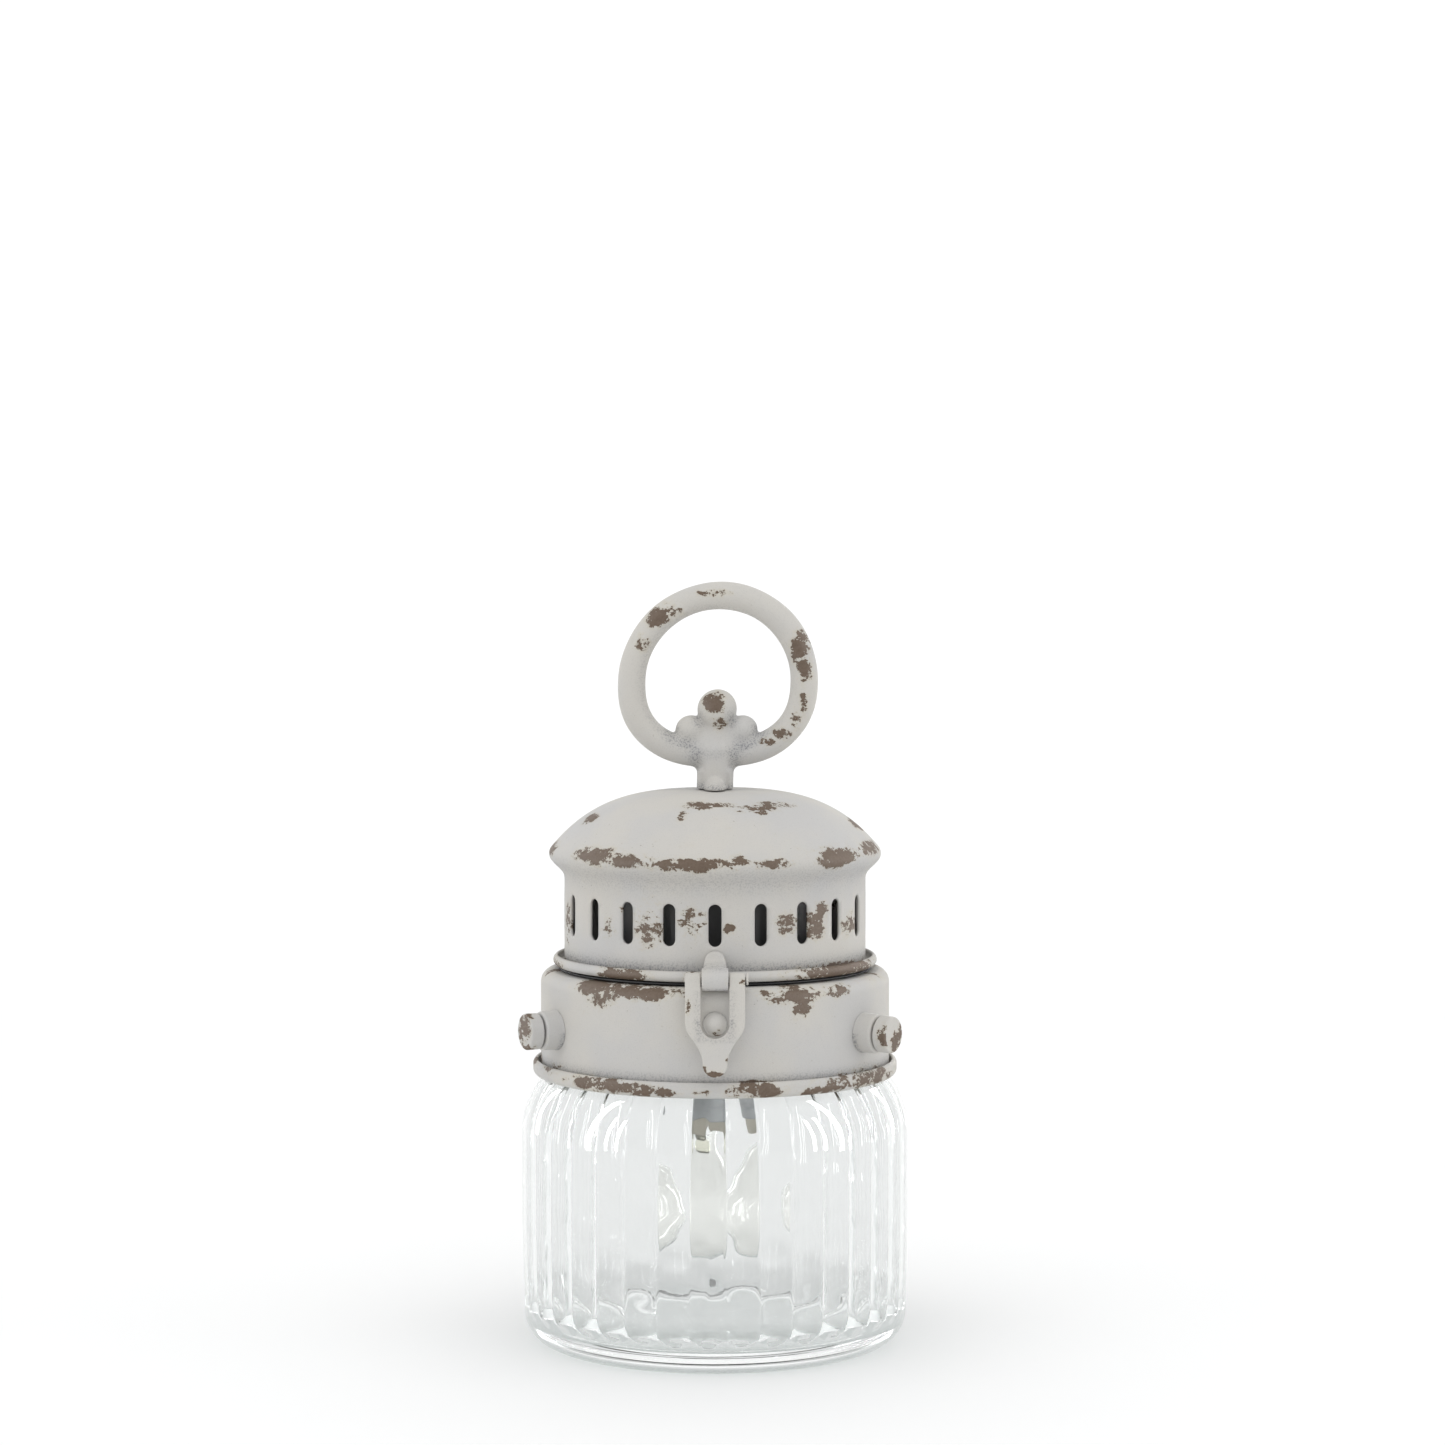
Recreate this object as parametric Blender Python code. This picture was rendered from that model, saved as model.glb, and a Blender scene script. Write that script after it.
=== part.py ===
"""Mason jar lantern: a ribbed glass jar held by three thumb screws in a painted tin
collar, a hinged domed lid with vent slots, a cast ring handle and a hasp latch, and a
battery box with a hanging LED bulb inside.

Metres, +Z up. The origin is the centre of the jar's flat base. The front of the
lantern, with the latch, faces -Y and the lid hinge is at the back, on +Y.
"""
import math

import bmesh
import bpy
from mathutils import Matrix, Vector
from mathutils.geometry import interpolate_bezier

MM = 0.001

# Clearances
SEAT_GAP = 0.3 * MM            # between pieces that rest on or touch each other
BORE_GAP = 0.3 * MM            # round a shank or a pin in its hole
SIDE_GAP = 0.3 * MM            # beside a knuckle, between the arms of its mate

# Glass jar
JAR_RADIUS = 60.0 * MM
JAR_HEIGHT = 112.3 * MM
JAR_WALL = 2.4 * MM
JAR_FLOOR = 7.0 * MM
JAR_DRAFT = 0.7 * MM
JAR_CORNER = 9.0 * MM
JAR_FLOOR_FILLET = 8.0 * MM
JAR_SHOULDER_START = JAR_HEIGHT - 47.3 * MM
JAR_SHOULDER_RADIUS = 27.0 * MM
JAR_NECK_RADIUS = JAR_RADIUS - 14.5 * MM
JAR_LIP_RADIUS = JAR_RADIUS - 10.5 * MM
JAR_LIP_HEIGHT = 9.7 * MM
JAR_MOUTH_RADIUS = JAR_NECK_RADIUS - 3.0 * MM
RIBS = 36
RIB_HEIGHT = 0.85 * MM
RIB_TURN = -2.0

# Tin collar
COLLAR_SHEET = 1.0 * MM
COLLAR_RADIUS = JAR_LIP_RADIUS + COLLAR_SHEET + 3.5 * MM
COLLAR_TOP = JAR_HEIGHT + COLLAR_SHEET + 1.8 * MM
COLLAR_BOTTOM = COLLAR_TOP - 32.4 * MM
COLLAR_SHOULDER = 3.6 * MM
COLLAR_MOUTH_RADIUS = JAR_MOUTH_RADIUS - 2.5 * MM
RIM_ROLL = 0.7 * MM
RIM_HEIGHT = 4.8 * MM

# Lamp plate
PLATE_RADIUS = COLLAR_RADIUS - 5.4 * MM
PLATE_SHEET = 0.7 * MM
RIVETS = 3
RIVET_RADIUS = 1.0 * MM
RIVET_HEAD_RADIUS = 2.2 * MM
RIVET_HEAD_HEIGHT = 1.0 * MM

# Lid
LID_WALL_RADIUS = COLLAR_RADIUS - 7.3 * MM
LID_SHEET = 0.8 * MM
BEAD_ROLL = 0.9 * MM
BEAD_TURN = 1.4 * MM
BEAD_RUN = 0.4 * MM
BRIM_RADIUS = LID_WALL_RADIUS + 4.8 * MM
BRIM_ROLL = 2.9 * MM
CROWN_RADIUS = 10.0 * MM
VENTS = 21
VENT_WIDTH = 4.0 * MM
VENT_HEIGHT = 12.7 * MM

# Cast ring handle
RING_RADIUS = 26.75 * MM
RING_TUBE_RADIUS = 4.35 * MM
RING_LOWER_DROP = 22.0 * MM
RING_LOWER_POWER = 2.5
DROP_RADIUS = 6.2 * MM
DROP_DEPTH = 8.5 * MM
LOBE_RADIUS = 4.4 * MM
LOBE_OFFSET = 8.3 * MM
LOBE_DEPTH = 14.7 * MM
STEM_WIDTH = 11.35 * MM
STEM_SIDE_RADIUS = 2.9 * MM
STEM_FRONT_RADIUS = 3.5 * MM
STEM_FRONT_OFFSET = 2.4 * MM
STEM_FLARE = 1.6 * MM
TOE_WIDTH = 6.9 * MM
TOE_HEIGHT = 4.5 * MM
TOE_REACH = 12.0 * MM
STUD_RADIUS = 2.4 * MM
STUD_LENGTH = 7.8 * MM
WASHER_RADIUS = 6.5 * MM
WASHER_HEIGHT = 1.0 * MM
NUT_RADIUS = 4.6 * MM
NUT_HEIGHT = 3.9 * MM

# Thumb screws that hold the jar
SCREW_HEIGHT = JAR_HEIGHT - 13.3 * MM
SCREW_DIRECTIONS = {"left": -153.5, "right": -33.5, "rear": 86.5}
BOSS_RADIUS = 5.9 * MM
BOSS_LENGTH = 5.5 * MM
KNOB_RADIUS = 5.5 * MM
KNOB_LENGTH = 4.6 * MM
KNOB_ROUNDING = 0.9 * MM
KNOB_STANDOFF = 0.5 * MM
SCREW_SHANK_RADIUS = 1.8 * MM

# Latch on the front
LATCH_PIN_RADIUS = 0.75 * MM
LATCH_HEAD_RADIUS = 1.8 * MM
LATCH_HEAD_LENGTH = 0.7 * MM
LUG_KNUCKLE_RADIUS = 3.4 * MM
LUG_STRAP_WIDTH = 6.2 * MM
LUG_STRAP_THICKNESS = 1.4 * MM
HASP_SHEET = 1.1 * MM
HASP_EYE_RADIUS = 1.9 * MM
HASP_WIDTH = 17.8 * MM
HASP_SLOT_WIDTH = 8.5 * MM
HASP_SHOULDER = 13.0 * MM
HASP_TIP_RADIUS = 3.65 * MM
HASP_LENGTH = 29.0 * MM
HASP_CLEARANCE = 0.35 * MM
CATCH_RADIUS = 3.4 * MM
CATCH_DEPTH = 13.4 * MM
CATCH_STANDOFF = 0.5 * MM

# Hinge at the back
HINGE_PIN_RADIUS = 1.0 * MM
HINGE_PIN_OUT = COLLAR_RADIUS + 3.0 * MM
HINGE_KNUCKLE_RADIUS = 2.6 * MM
HINGE_LID_KNUCKLE = 6.0 * MM
HINGE_COLLAR_KNUCKLE = 4.7 * MM
HINGE_LEAF_SHEET = 1.3 * MM
HINGE_TAB_SHEET = 1.0 * MM

# Lampholder and bulb
SLEEVE_RADIUS = 7.5 * MM
SLEEVE_WALL = 0.7 * MM
SLEEVE_FLANGE_RADIUS = 11.0 * MM
NIPPLE_RADIUS = 4.9 * MM
NIPPLE_BORE = 3.2 * MM
LAMP_NUT_RADIUS = 8.1 * MM
LAMP_NUT_HEIGHT = 3.0 * MM
INSERT_LENGTH = 26.0 * MM
INSERT_WALL = 0.8 * MM
BULB_RADIUS = 16.8 * MM
BULB_WALL = 0.8 * MM
BULB_CAP_WALL = 0.5 * MM
LED_RADIUS = 2.5 * MM

# Battery box
BOX_MOST_RADIUS = 32.0 * MM
BOX_WALL = 1.5 * MM
BOX_DECK = 9.8 * MM
BOX_BOSS_RADIUS = 3.0 * MM
BOX_SCREW_RADIUS = 1.2 * MM
BOX_SCREW_HEAD = 2.6 * MM
BOX_SCREW_HEAD_HEIGHT = 1.1 * MM
BOX_SCREW_LENGTH = 7.0 * MM
CELLS = 3
CELL_RADIUS = 5.25 * MM
CELL_LENGTH = 43.6 * MM
CELL_NUB_RADIUS = 1.9 * MM
CELL_NUB_LENGTH = 0.9 * MM
CONTACT_SHEET = 0.5 * MM
CONTACT_HEIGHT = 8.0 * MM
BOARD_LENGTH = 34.0 * MM
BOARD_WIDTH = 22.0 * MM
BOARD_THICKNESS = 1.6 * MM
COVER_THICKNESS = 1.8 * MM
SWITCH_LENGTH = 12.0 * MM
SWITCH_WIDTH = 6.5 * MM
SWITCH_TRAVEL = 4.0 * MM
POST_LENGTH = 3.0 * MM
POST_WIDTH = 2.6 * MM
POST_RISE = 1.4 * MM
FOOT_LENGTH = 5.6 * MM
FOOT_WIDTH = 4.8 * MM
FOOT_HEIGHT = 0.6 * MM

# Smoothness of the round pieces
JAR_FACETS = 36
COLLAR_FACETS = 32
LID_FACETS = 2 * VENTS
BOX_FACETS = 24
PART_FACETS = 16
SMALL_FACETS = 10
RING_FACETS = 32
TUBE_FACETS = 8

# Heights and reaches that follow from the stack
PLATE_BOTTOM = COLLAR_TOP + SEAT_GAP
PLATE_TOP = PLATE_BOTTOM + PLATE_SHEET
LID_BOTTOM = PLATE_TOP + SEAT_GAP
BEAD_TOP = LID_BOTTOM + 2.0 * (BEAD_ROLL + LID_SHEET)
BEAD_RADIUS = LID_WALL_RADIUS + BEAD_TURN + BEAD_RUN + BEAD_ROLL + LID_SHEET
VENT_BOTTOM = LID_BOTTOM + 10.4 * MM
LID_WALL_TOP = LID_BOTTOM + 24.6 * MM
BRIM_HEIGHT = LID_WALL_TOP + 10.0 * MM
DOME_TOP = BRIM_HEIGHT + 19.5 * MM
BOX_RADIUS = min(BOX_MOST_RADIUS, LID_WALL_RADIUS - LID_SHEET - 2.0 * RIVET_HEAD_RADIUS - 1.0 * MM)
BOX_BOTTOM = PLATE_TOP + SEAT_GAP
BOX_HEIGHT = BOX_DECK + BOX_WALL + 2.0 * CELL_RADIUS + 0.7 * MM
BOX_TOP = BOX_BOTTOM + BOX_HEIGHT
DECK_BOTTOM = BOX_BOTTOM + BOX_DECK
DECK_TOP = DECK_BOTTOM + BOX_WALL
COVER_BOTTOM = BOX_TOP + SEAT_GAP
COVER_TOP = COVER_BOTTOM + COVER_THICKNESS
CELL_PITCH = 2.0 * CELL_RADIUS + SEAT_GAP
SWITCH_OFFSET = (CELLS - 1) / 2.0 * CELL_PITCH + CELL_RADIUS + SWITCH_WIDTH / 2.0 + 1.9 * MM
RIVET_CIRCLE = max(COLLAR_MOUTH_RADIUS + 2.4 * MM, BOX_RADIUS + RIVET_HEAD_RADIUS + 0.5 * MM)
COLLAR_FLAT = COLLAR_RADIUS * math.cos(math.pi / COLLAR_FACETS)
LATCH_PIN_OUT = BEAD_RADIUS + LUG_KNUCKLE_RADIUS + 1.2 * MM
LATCH_PIN_HEIGHT = LID_BOTTOM + 1.8 * MM
LUG_STRAP_TOP = LATCH_PIN_HEIGHT + 7.4 * MM
CATCH_HEIGHT = LATCH_PIN_HEIGHT - CATCH_DEPTH
HINGE_PIN_HEIGHT = BEAD_TOP + SEAT_GAP + 1.0 * MM - HINGE_KNUCKLE_RADIUS
HINGE_LEAF_BOTTOM = COLLAR_TOP - 9.1 * MM
HINGE_LEAF_STEP = COLLAR_TOP - 2.6 * MM
HINGE_TAB_TOP = HINGE_PIN_HEIGHT + 7.5 * MM
NIPPLE_TOP = PLATE_TOP + 5.4 * MM
SLEEVE_BOTTOM = PLATE_BOTTOM - 46.9 * MM
INSERT_BOTTOM = SLEEVE_BOTTOM - 4.3 * MM
BULB_CAP_TOP = INSERT_BOTTOM + 17.8 * MM
BULB_NECK_TOP = INSERT_BOTTOM + 7.3 * MM
BULB_WIDEST = INSERT_BOTTOM - 1.5 * BULB_RADIUS
BULB_BOTTOM = BULB_WIDEST - 0.827 * BULB_RADIUS
LED_TIP = INSERT_BOTTOM - 7.2 * MM
BOX_SCREW_OFFSET = BOX_RADIUS - 6.0 * MM
RING_CENTRE_HEIGHT = DOME_TOP + RING_TUBE_RADIUS + RING_LOWER_DROP + 7.45 * MM
HASP_BACK = HASP_EYE_RADIUS - HASP_SHEET
RING_BOTTOM = RING_CENTRE_HEIGHT - RING_LOWER_DROP - RING_TUBE_RADIUS
HANDLE_BASE = DOME_TOP + SEAT_GAP


def look(name, colour, roughness, metallic=0.0, transmission=0.0):
    """A Principled BSDF with one colour."""
    material = bpy.data.materials.new(name)
    material.use_nodes = True
    shader = material.node_tree.nodes["Principled BSDF"]
    shader.inputs["Base Color"].default_value = (*colour, 1.0)
    shader.inputs["Roughness"].default_value = roughness
    shader.inputs["Metallic"].default_value = metallic
    shader.inputs["Transmission Weight"].default_value = transmission
    material.diffuse_color = (*colour, 1.0)
    return material


def arc(centre, radius, start, end, steps):
    """Points on an arc between two angles in degrees, both ends included."""
    points = []
    for step in range(steps + 1):
        angle = math.radians(start + (end - start) * step / steps)
        points.append((centre[0] + radius * math.cos(angle), centre[1] + radius * math.sin(angle)))
    return points


def sweep(start, start_handle, end_handle, end, points):
    """Points on a Bezier curve, both ends included."""
    corners = [Vector((x, y, 0.0)) for x, y in (start, start_handle, end_handle, end)]
    return [(point.x, point.y) for point in interpolate_bezier(*corners, points)]


def sheet(face, thickness):
    """Closed outline of a sheet: one face follows a path, the other lies on its right."""
    points = [Vector(point) for point in face]
    back = []
    for index, point in enumerate(points):
        into = (point - points[index - 1]).normalized() if index else None
        out = (points[index + 1] - point).normalized() if index + 1 < len(points) else None
        into = into or out
        out = out or into
        right = Vector((into.y, -into.x))
        middle = (right + Vector((out.y, -out.x))).normalized()
        back.append(point + middle * (thickness / middle.dot(right)))
    return [tuple(point) for point in points] + [tuple(point) for point in reversed(back)]


def finish(name, shape, material):
    """Turns a bmesh into a named object with smooth round faces."""
    bmesh.ops.recalc_face_normals(shape, faces=shape.faces)
    mesh = bpy.data.meshes.new(name)
    shape.to_mesh(mesh)
    shape.free()
    mesh.shade_smooth()
    mesh.set_sharp_from_angle(angle=math.radians(35.0))
    mesh.materials.append(material)
    piece = bpy.data.objects.new(name, mesh)
    bpy.context.scene.collection.objects.link(piece)
    return piece


def lathe(name, outline, facets, material, start=0.0):
    """Solid turned about Z from a closed outline of (radius, height) points."""
    shape = bmesh.new()
    turn = math.radians(start)
    ring = [shape.verts.new((radius * math.cos(turn), radius * math.sin(turn), height))
            for radius, height in outline]
    edges = []
    for index, (radius, height) in enumerate(outline):
        if radius > 0.0 or outline[index - 1][0] > 0.0:
            edges.append(shape.edges.new((ring[index - 1], ring[index])))
    bmesh.ops.spin(shape, geom=ring + edges, cent=(0.0, 0.0, 0.0), axis=(0.0, 0.0, 1.0),
                   angle=math.tau, steps=facets, use_merge=True)
    bmesh.ops.remove_doubles(shape, verts=shape.verts, dist=0.001 * MM)
    return finish(name, shape, material)


def extrude(name, outline, move, material):
    """Solid pushed along a vector from a closed flat outline."""
    shape = bmesh.new()
    face = shape.faces.new([shape.verts.new(point) for point in outline])
    pushed = bmesh.ops.extrude_face_region(shape, geom=[face])
    moved = [item for item in pushed["geom"] if isinstance(item, bmesh.types.BMVert)]
    bmesh.ops.translate(shape, verts=moved, vec=move)
    return finish(name, shape, material)


def across(name, outline, start, end, material):
    """Solid between two places along X from a side outline of (y, z) points."""
    return extrude(name, [(start, y, z) for y, z in outline], (end - start, 0.0, 0.0), material)


def through(name, outline, front, back, material):
    """Solid between two places along Y from a front outline of (x, z) points."""
    return extrude(name, [(x, front, z) for x, z in outline], (0.0, back - front, 0.0), material)


def rod(name, radius, start, end, facets, material):
    """Plain cylinder between two points."""
    start = Vector(start)
    end = Vector(end)
    shape = bmesh.new()
    turn = (end - start).to_track_quat("Z", "Y").to_matrix().to_4x4()
    bmesh.ops.create_cone(shape, cap_ends=True, segments=facets, radius1=radius, radius2=radius,
                          depth=(end - start).length,
                          matrix=Matrix.Translation((start + end) / 2.0) @ turn)
    return finish(name, shape, material)


def block(name, centre, size, material):
    """Plain rectangular block."""
    shape = bmesh.new()
    bmesh.ops.create_cube(shape, size=1.0, matrix=Matrix.LocRotScale(Vector(centre), None, Vector(size)))
    return finish(name, shape, material)


def ball(name, centre, radii, material):
    """Ball or egg with its axis upright."""
    shape = bmesh.new()
    bmesh.ops.create_uvsphere(shape, u_segments=10, v_segments=6, radius=1.0,
                              matrix=Matrix.LocRotScale(Vector(centre), None, Vector(radii)))
    return finish(name, shape, material)


def shape_with(piece, tool, operation):
    """Changes a piece by a Boolean with a hidden tool."""
    tool.hide_render = True
    tool.display_type = "WIRE"
    modifier = piece.modifiers.new(tool.name, "BOOLEAN")
    modifier.operation = operation
    modifier.object = tool
    return piece


def cut(piece, *tools):
    for tool in tools:
        shape_with(piece, tool, "DIFFERENCE")
    return piece


def join(piece, *tools):
    for tool in tools:
        shape_with(piece, tool, "UNION")
    return piece


def carry(name, place, *pieces):
    """Empty on a joint's axis that carries the pieces of one moving body, left in place."""
    empty = bpy.data.objects.new(name, None)
    empty.location = place
    empty.empty_display_size = 10.0 * MM
    bpy.context.scene.collection.objects.link(empty)
    for piece in pieces:
        piece.parent = empty
        piece.matrix_parent_inverse = Matrix.Translation(-Vector(place))
    return empty


def around(direction):
    """Turn about Z that takes +X to a direction in degrees."""
    return Matrix.Rotation(math.radians(direction), 4, "Z")


# Glass jar: smooth outside, ribbed inside, with a necked mouth and a rounded lip

def jar_outside():
    foot = (JAR_RADIUS - JAR_DRAFT - JAR_CORNER, JAR_CORNER)
    shoulder = (JAR_RADIUS - JAR_SHOULDER_RADIUS, JAR_SHOULDER_START)
    lip = JAR_HEIGHT - JAR_LIP_HEIGHT
    edge = 2.1 * MM
    outline = [(0.0, 0.0)] + arc(foot, JAR_CORNER, -90.0, 0.0, 3)
    outline += [(JAR_RADIUS, 38.0 * MM)]
    outline += arc(shoulder, JAR_SHOULDER_RADIUS, 0.0, 60.0, 4)
    outline += [(JAR_NECK_RADIUS, outline[-1][1] + 2.6 * MM), (JAR_NECK_RADIUS, lip - 1.1 * MM)]
    outline += [(JAR_NECK_RADIUS + 1.0 * MM, lip), (JAR_LIP_RADIUS - 0.5 * MM, lip + 1.6 * MM)]
    outline += [(JAR_LIP_RADIUS, lip + 3.4 * MM)]
    outline += arc((JAR_LIP_RADIUS - edge, JAR_HEIGHT - edge), edge, 0.0, 90.0, 2)
    return outline + [(0.0, JAR_HEIGHT)]


def jar_cavity(material):
    """Inside of the jar: a turned core whose wall carries upright ribs with sharp grooves between."""
    wall = JAR_RADIUS - JAR_WALL
    fillet = (wall - JAR_FLOOR_FILLET, JAR_FLOOR + JAR_FLOOR_FILLET)
    shoulder = (JAR_RADIUS - JAR_SHOULDER_RADIUS, JAR_SHOULDER_START)
    floor = arc(fillet, JAR_FLOOR_FILLET, -90.0, 0.0, 3)
    above = arc(shoulder, JAR_SHOULDER_RADIUS - JAR_WALL, 0.0, 60.0, 3)
    rows = [(*point, share) for point, share in zip(floor, (0.0, 0.2, 1.0, 1.0))]
    rows += [(*point, share) for point, share in zip(above, (1.0, 1.0, 0.7, 0.0))]
    rows += [(JAR_MOUTH_RADIUS, above[-1][1] + 3.0 * MM, 0.0)]
    rows += [(JAR_MOUTH_RADIUS, JAR_HEIGHT - 1.5 * MM, 0.0)]
    rows += [(JAR_MOUTH_RADIUS + 2.0 * MM, JAR_HEIGHT + 1.0 * MM, 0.0)]
    columns = 2 * RIBS
    shape = bmesh.new()
    grid = []
    for radius, height, share in rows:
        loop = []
        for step in range(columns):
            swell = share * RIB_HEIGHT if step % 2 else 0.0
            turn = math.tau * (step - 1) / columns + math.radians(RIB_TURN)
            reach = radius - swell
            loop.append(shape.verts.new((reach * math.sin(turn), -reach * math.cos(turn), height)))
        grid.append(loop)
    for lower, upper in zip(grid, grid[1:]):
        for step in range(columns):
            shape.faces.new((lower[step - 1], lower[step], upper[step], upper[step - 1]))
    shape.faces.new(reversed(grid[0]))
    shape.faces.new(grid[-1])
    return finish("jar_cavity_tool", shape, material)


def make_jar(glass):
    jar = lathe("glass_jar", jar_outside(), JAR_FACETS, glass)
    return cut(jar, jar_cavity(glass))


# Tin collar: flange above, rounded shoulder, plain wall and a rolled lower rim

def collar_face():
    corner = (COLLAR_RADIUS - COLLAR_SHOULDER, COLLAR_TOP - COLLAR_SHOULDER)
    roll = (COLLAR_RADIUS + RIM_ROLL, COLLAR_BOTTOM + COLLAR_SHEET + RIM_ROLL)
    edge = COLLAR_RADIUS + 2.0 * RIM_ROLL
    face = [(COLLAR_MOUTH_RADIUS, COLLAR_TOP)] + arc(corner, COLLAR_SHOULDER, 90.0, 0.0, 3)
    face += arc(roll, RIM_ROLL, 180.0, 360.0, 3)
    return face + [(edge, COLLAR_BOTTOM + RIM_HEIGHT - 0.7 * MM),
                   (edge - 0.3 * MM, COLLAR_BOTTOM + RIM_HEIGHT)]


def rivet_place(index):
    """Centre of one of the lamp plate's rivets, at the height of the plate's underside."""
    return around(-90.0 + 360.0 * (index + 0.5) / RIVETS) @ Vector((RIVET_CIRCLE, 0.0, PLATE_BOTTOM))


def make_collar(paint):
    outline = sheet(collar_face(), COLLAR_SHEET)
    collar = lathe("collar", outline, COLLAR_FACETS, paint, 180.0 / COLLAR_FACETS)
    for side, direction in SCREW_DIRECTIONS.items():
        start = around(direction) @ Vector((COLLAR_RADIUS - 8.0 * MM, 0.0, SCREW_HEIGHT))
        end = around(direction) @ Vector((COLLAR_RADIUS + 8.0 * MM, 0.0, SCREW_HEIGHT))
        hole = SCREW_SHANK_RADIUS + BORE_GAP
        cut(collar, rod(f"collar_hole_{side}_tool", hole, start, end, SMALL_FACETS, paint))
    for index in range(RIVETS):
        place = rivet_place(index)
        reach = Vector((0.0, 0.0, 4.0 * MM))
        hole = RIVET_RADIUS + BORE_GAP
        cut(collar,
            rod(f"collar_rivet_hole_{index + 1}_tool", hole, place - reach, place + reach, 12, paint))
    return collar


# Thumb screws: a boss on the collar and a smooth round knob on a plain shank

def make_boss(side, direction, paint):
    start = around(direction) @ Vector((COLLAR_RADIUS - 1.0 * MM, 0.0, SCREW_HEIGHT))
    end = around(direction) @ Vector((COLLAR_RADIUS + BOSS_LENGTH, 0.0, SCREW_HEIGHT))
    along = (end - start).normalized() * 4.0 * MM
    boss = rod(f"screw_boss_{side}", BOSS_RADIUS, start, end, PART_FACETS, paint)
    saddle = rod(f"boss_saddle_{side}_tool", COLLAR_RADIUS + SEAT_GAP, (0.0, 0.0, SCREW_HEIGHT - 15.0 * MM),
                 (0.0, 0.0, SCREW_HEIGHT + 15.0 * MM), 2 * COLLAR_FACETS, paint)
    bore = rod(f"boss_bore_{side}_tool", SCREW_SHANK_RADIUS + BORE_GAP, start - along, end + along,
               SMALL_FACETS, paint)
    return cut(boss, saddle, bore)


def make_thumb_screw(side, direction, paint):
    """Knob and shank turned on the screw's own axis, the tip just off the jar's neck."""
    tip = JAR_NECK_RADIUS + SEAT_GAP + 0.2 * MM
    back = COLLAR_RADIUS + BOSS_LENGTH + KNOB_STANDOFF
    face = back + KNOB_LENGTH
    edge = KNOB_RADIUS - KNOB_ROUNDING
    outline = [(0.0, tip), (SCREW_SHANK_RADIUS - 0.5 * MM, tip), (SCREW_SHANK_RADIUS, tip + 0.7 * MM)]
    outline += [(SCREW_SHANK_RADIUS, back), (KNOB_RADIUS - 0.4 * MM, back), (KNOB_RADIUS, back + 0.4 * MM)]
    outline += arc((edge, face - KNOB_ROUNDING), KNOB_ROUNDING, 0.0, 90.0, 2) + [(0.0, face)]
    outline = [(radius, reach - COLLAR_RADIUS) for radius, reach in outline]
    screw = lathe(f"thumb_screw_{side}", outline, PART_FACETS, paint)
    place = around(direction) @ Vector((COLLAR_RADIUS, 0.0, SCREW_HEIGHT))
    upright = Matrix.Rotation(math.pi / 2.0, 4, "Y")
    screw.matrix_world = Matrix.Translation(place) @ around(direction) @ upright
    return screw


# Lid: flat crown, dome, rolled brim, slotted wall and an open rolled bead that sits on the plate

def lid_face():
    roll = (BRIM_RADIUS - BRIM_ROLL, BRIM_HEIGHT)
    brim = arc(roll, BRIM_ROLL, 40.0, -35.0, 2)
    fall = Vector((math.sin(math.radians(40.0)), -math.cos(math.radians(40.0))))
    tuck = Vector((-math.sin(math.radians(35.0)), -math.cos(math.radians(35.0))))
    dome_handle = Vector(brim[0]) - fall * 0.65 * (DOME_TOP - BRIM_HEIGHT)
    cove_handle = Vector(brim[-1]) + tuck * 0.35 * (BRIM_HEIGHT - LID_WALL_TOP)
    crown_handle = (CROWN_RADIUS + 0.53 * (BRIM_RADIUS - CROWN_RADIUS), DOME_TOP)
    wall_handle = (LID_WALL_RADIUS, LID_WALL_TOP + 0.36 * (BRIM_HEIGHT - LID_WALL_TOP))
    turn = (LID_WALL_RADIUS + BEAD_TURN, LID_BOTTOM + LID_SHEET + BEAD_TURN)
    bead = (LID_WALL_RADIUS + BEAD_TURN + BEAD_RUN, LID_BOTTOM + LID_SHEET + BEAD_ROLL)
    face = [(STUD_RADIUS + BORE_GAP, DOME_TOP)]
    face += sweep((CROWN_RADIUS, DOME_TOP), crown_handle, dome_handle, brim[0], 5) + brim[1:-1]
    face += sweep(brim[-1], cove_handle, wall_handle, (LID_WALL_RADIUS, LID_WALL_TOP), 3)
    face += arc(turn, BEAD_TURN, 180.0, 270.0, 2)
    return face + arc(bead, BEAD_ROLL, 270.0, 440.0, 3)


def make_vent_tool(paint):
    """All the vent slots as one tool: upright slots with round ends, evenly spaced."""
    half = VENT_WIDTH / 2.0
    outline = arc((0.0, VENT_BOTTOM + VENT_HEIGHT - half), half, 0.0, 180.0, 3)
    outline += arc((0.0, VENT_BOTTOM + half), half, 180.0, 360.0, 3)
    shape = bmesh.new()
    for index in range(VENTS):
        turn = around(-90.0 + 360.0 * index / VENTS)
        inner = [shape.verts.new(turn @ Vector((LID_WALL_RADIUS - 4.0 * MM, x, z))) for x, z in outline]
        outer = [shape.verts.new(turn @ Vector((LID_WALL_RADIUS + 4.0 * MM, x, z))) for x, z in outline]
        shape.faces.new(inner)
        shape.faces.new(reversed(outer))
        for step in range(len(outline)):
            shape.faces.new((inner[step - 1], outer[step - 1], outer[step], inner[step]))
    return finish("vent_tool", shape, paint)


def make_lid(paint):
    lid = lathe("lid_cap", sheet(lid_face(), LID_SHEET), LID_FACETS, paint)
    return cut(lid, make_vent_tool(paint))


# Ring handle: one casting of ring, three-lobed drop, clustered stem with two toes, and stud

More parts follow.
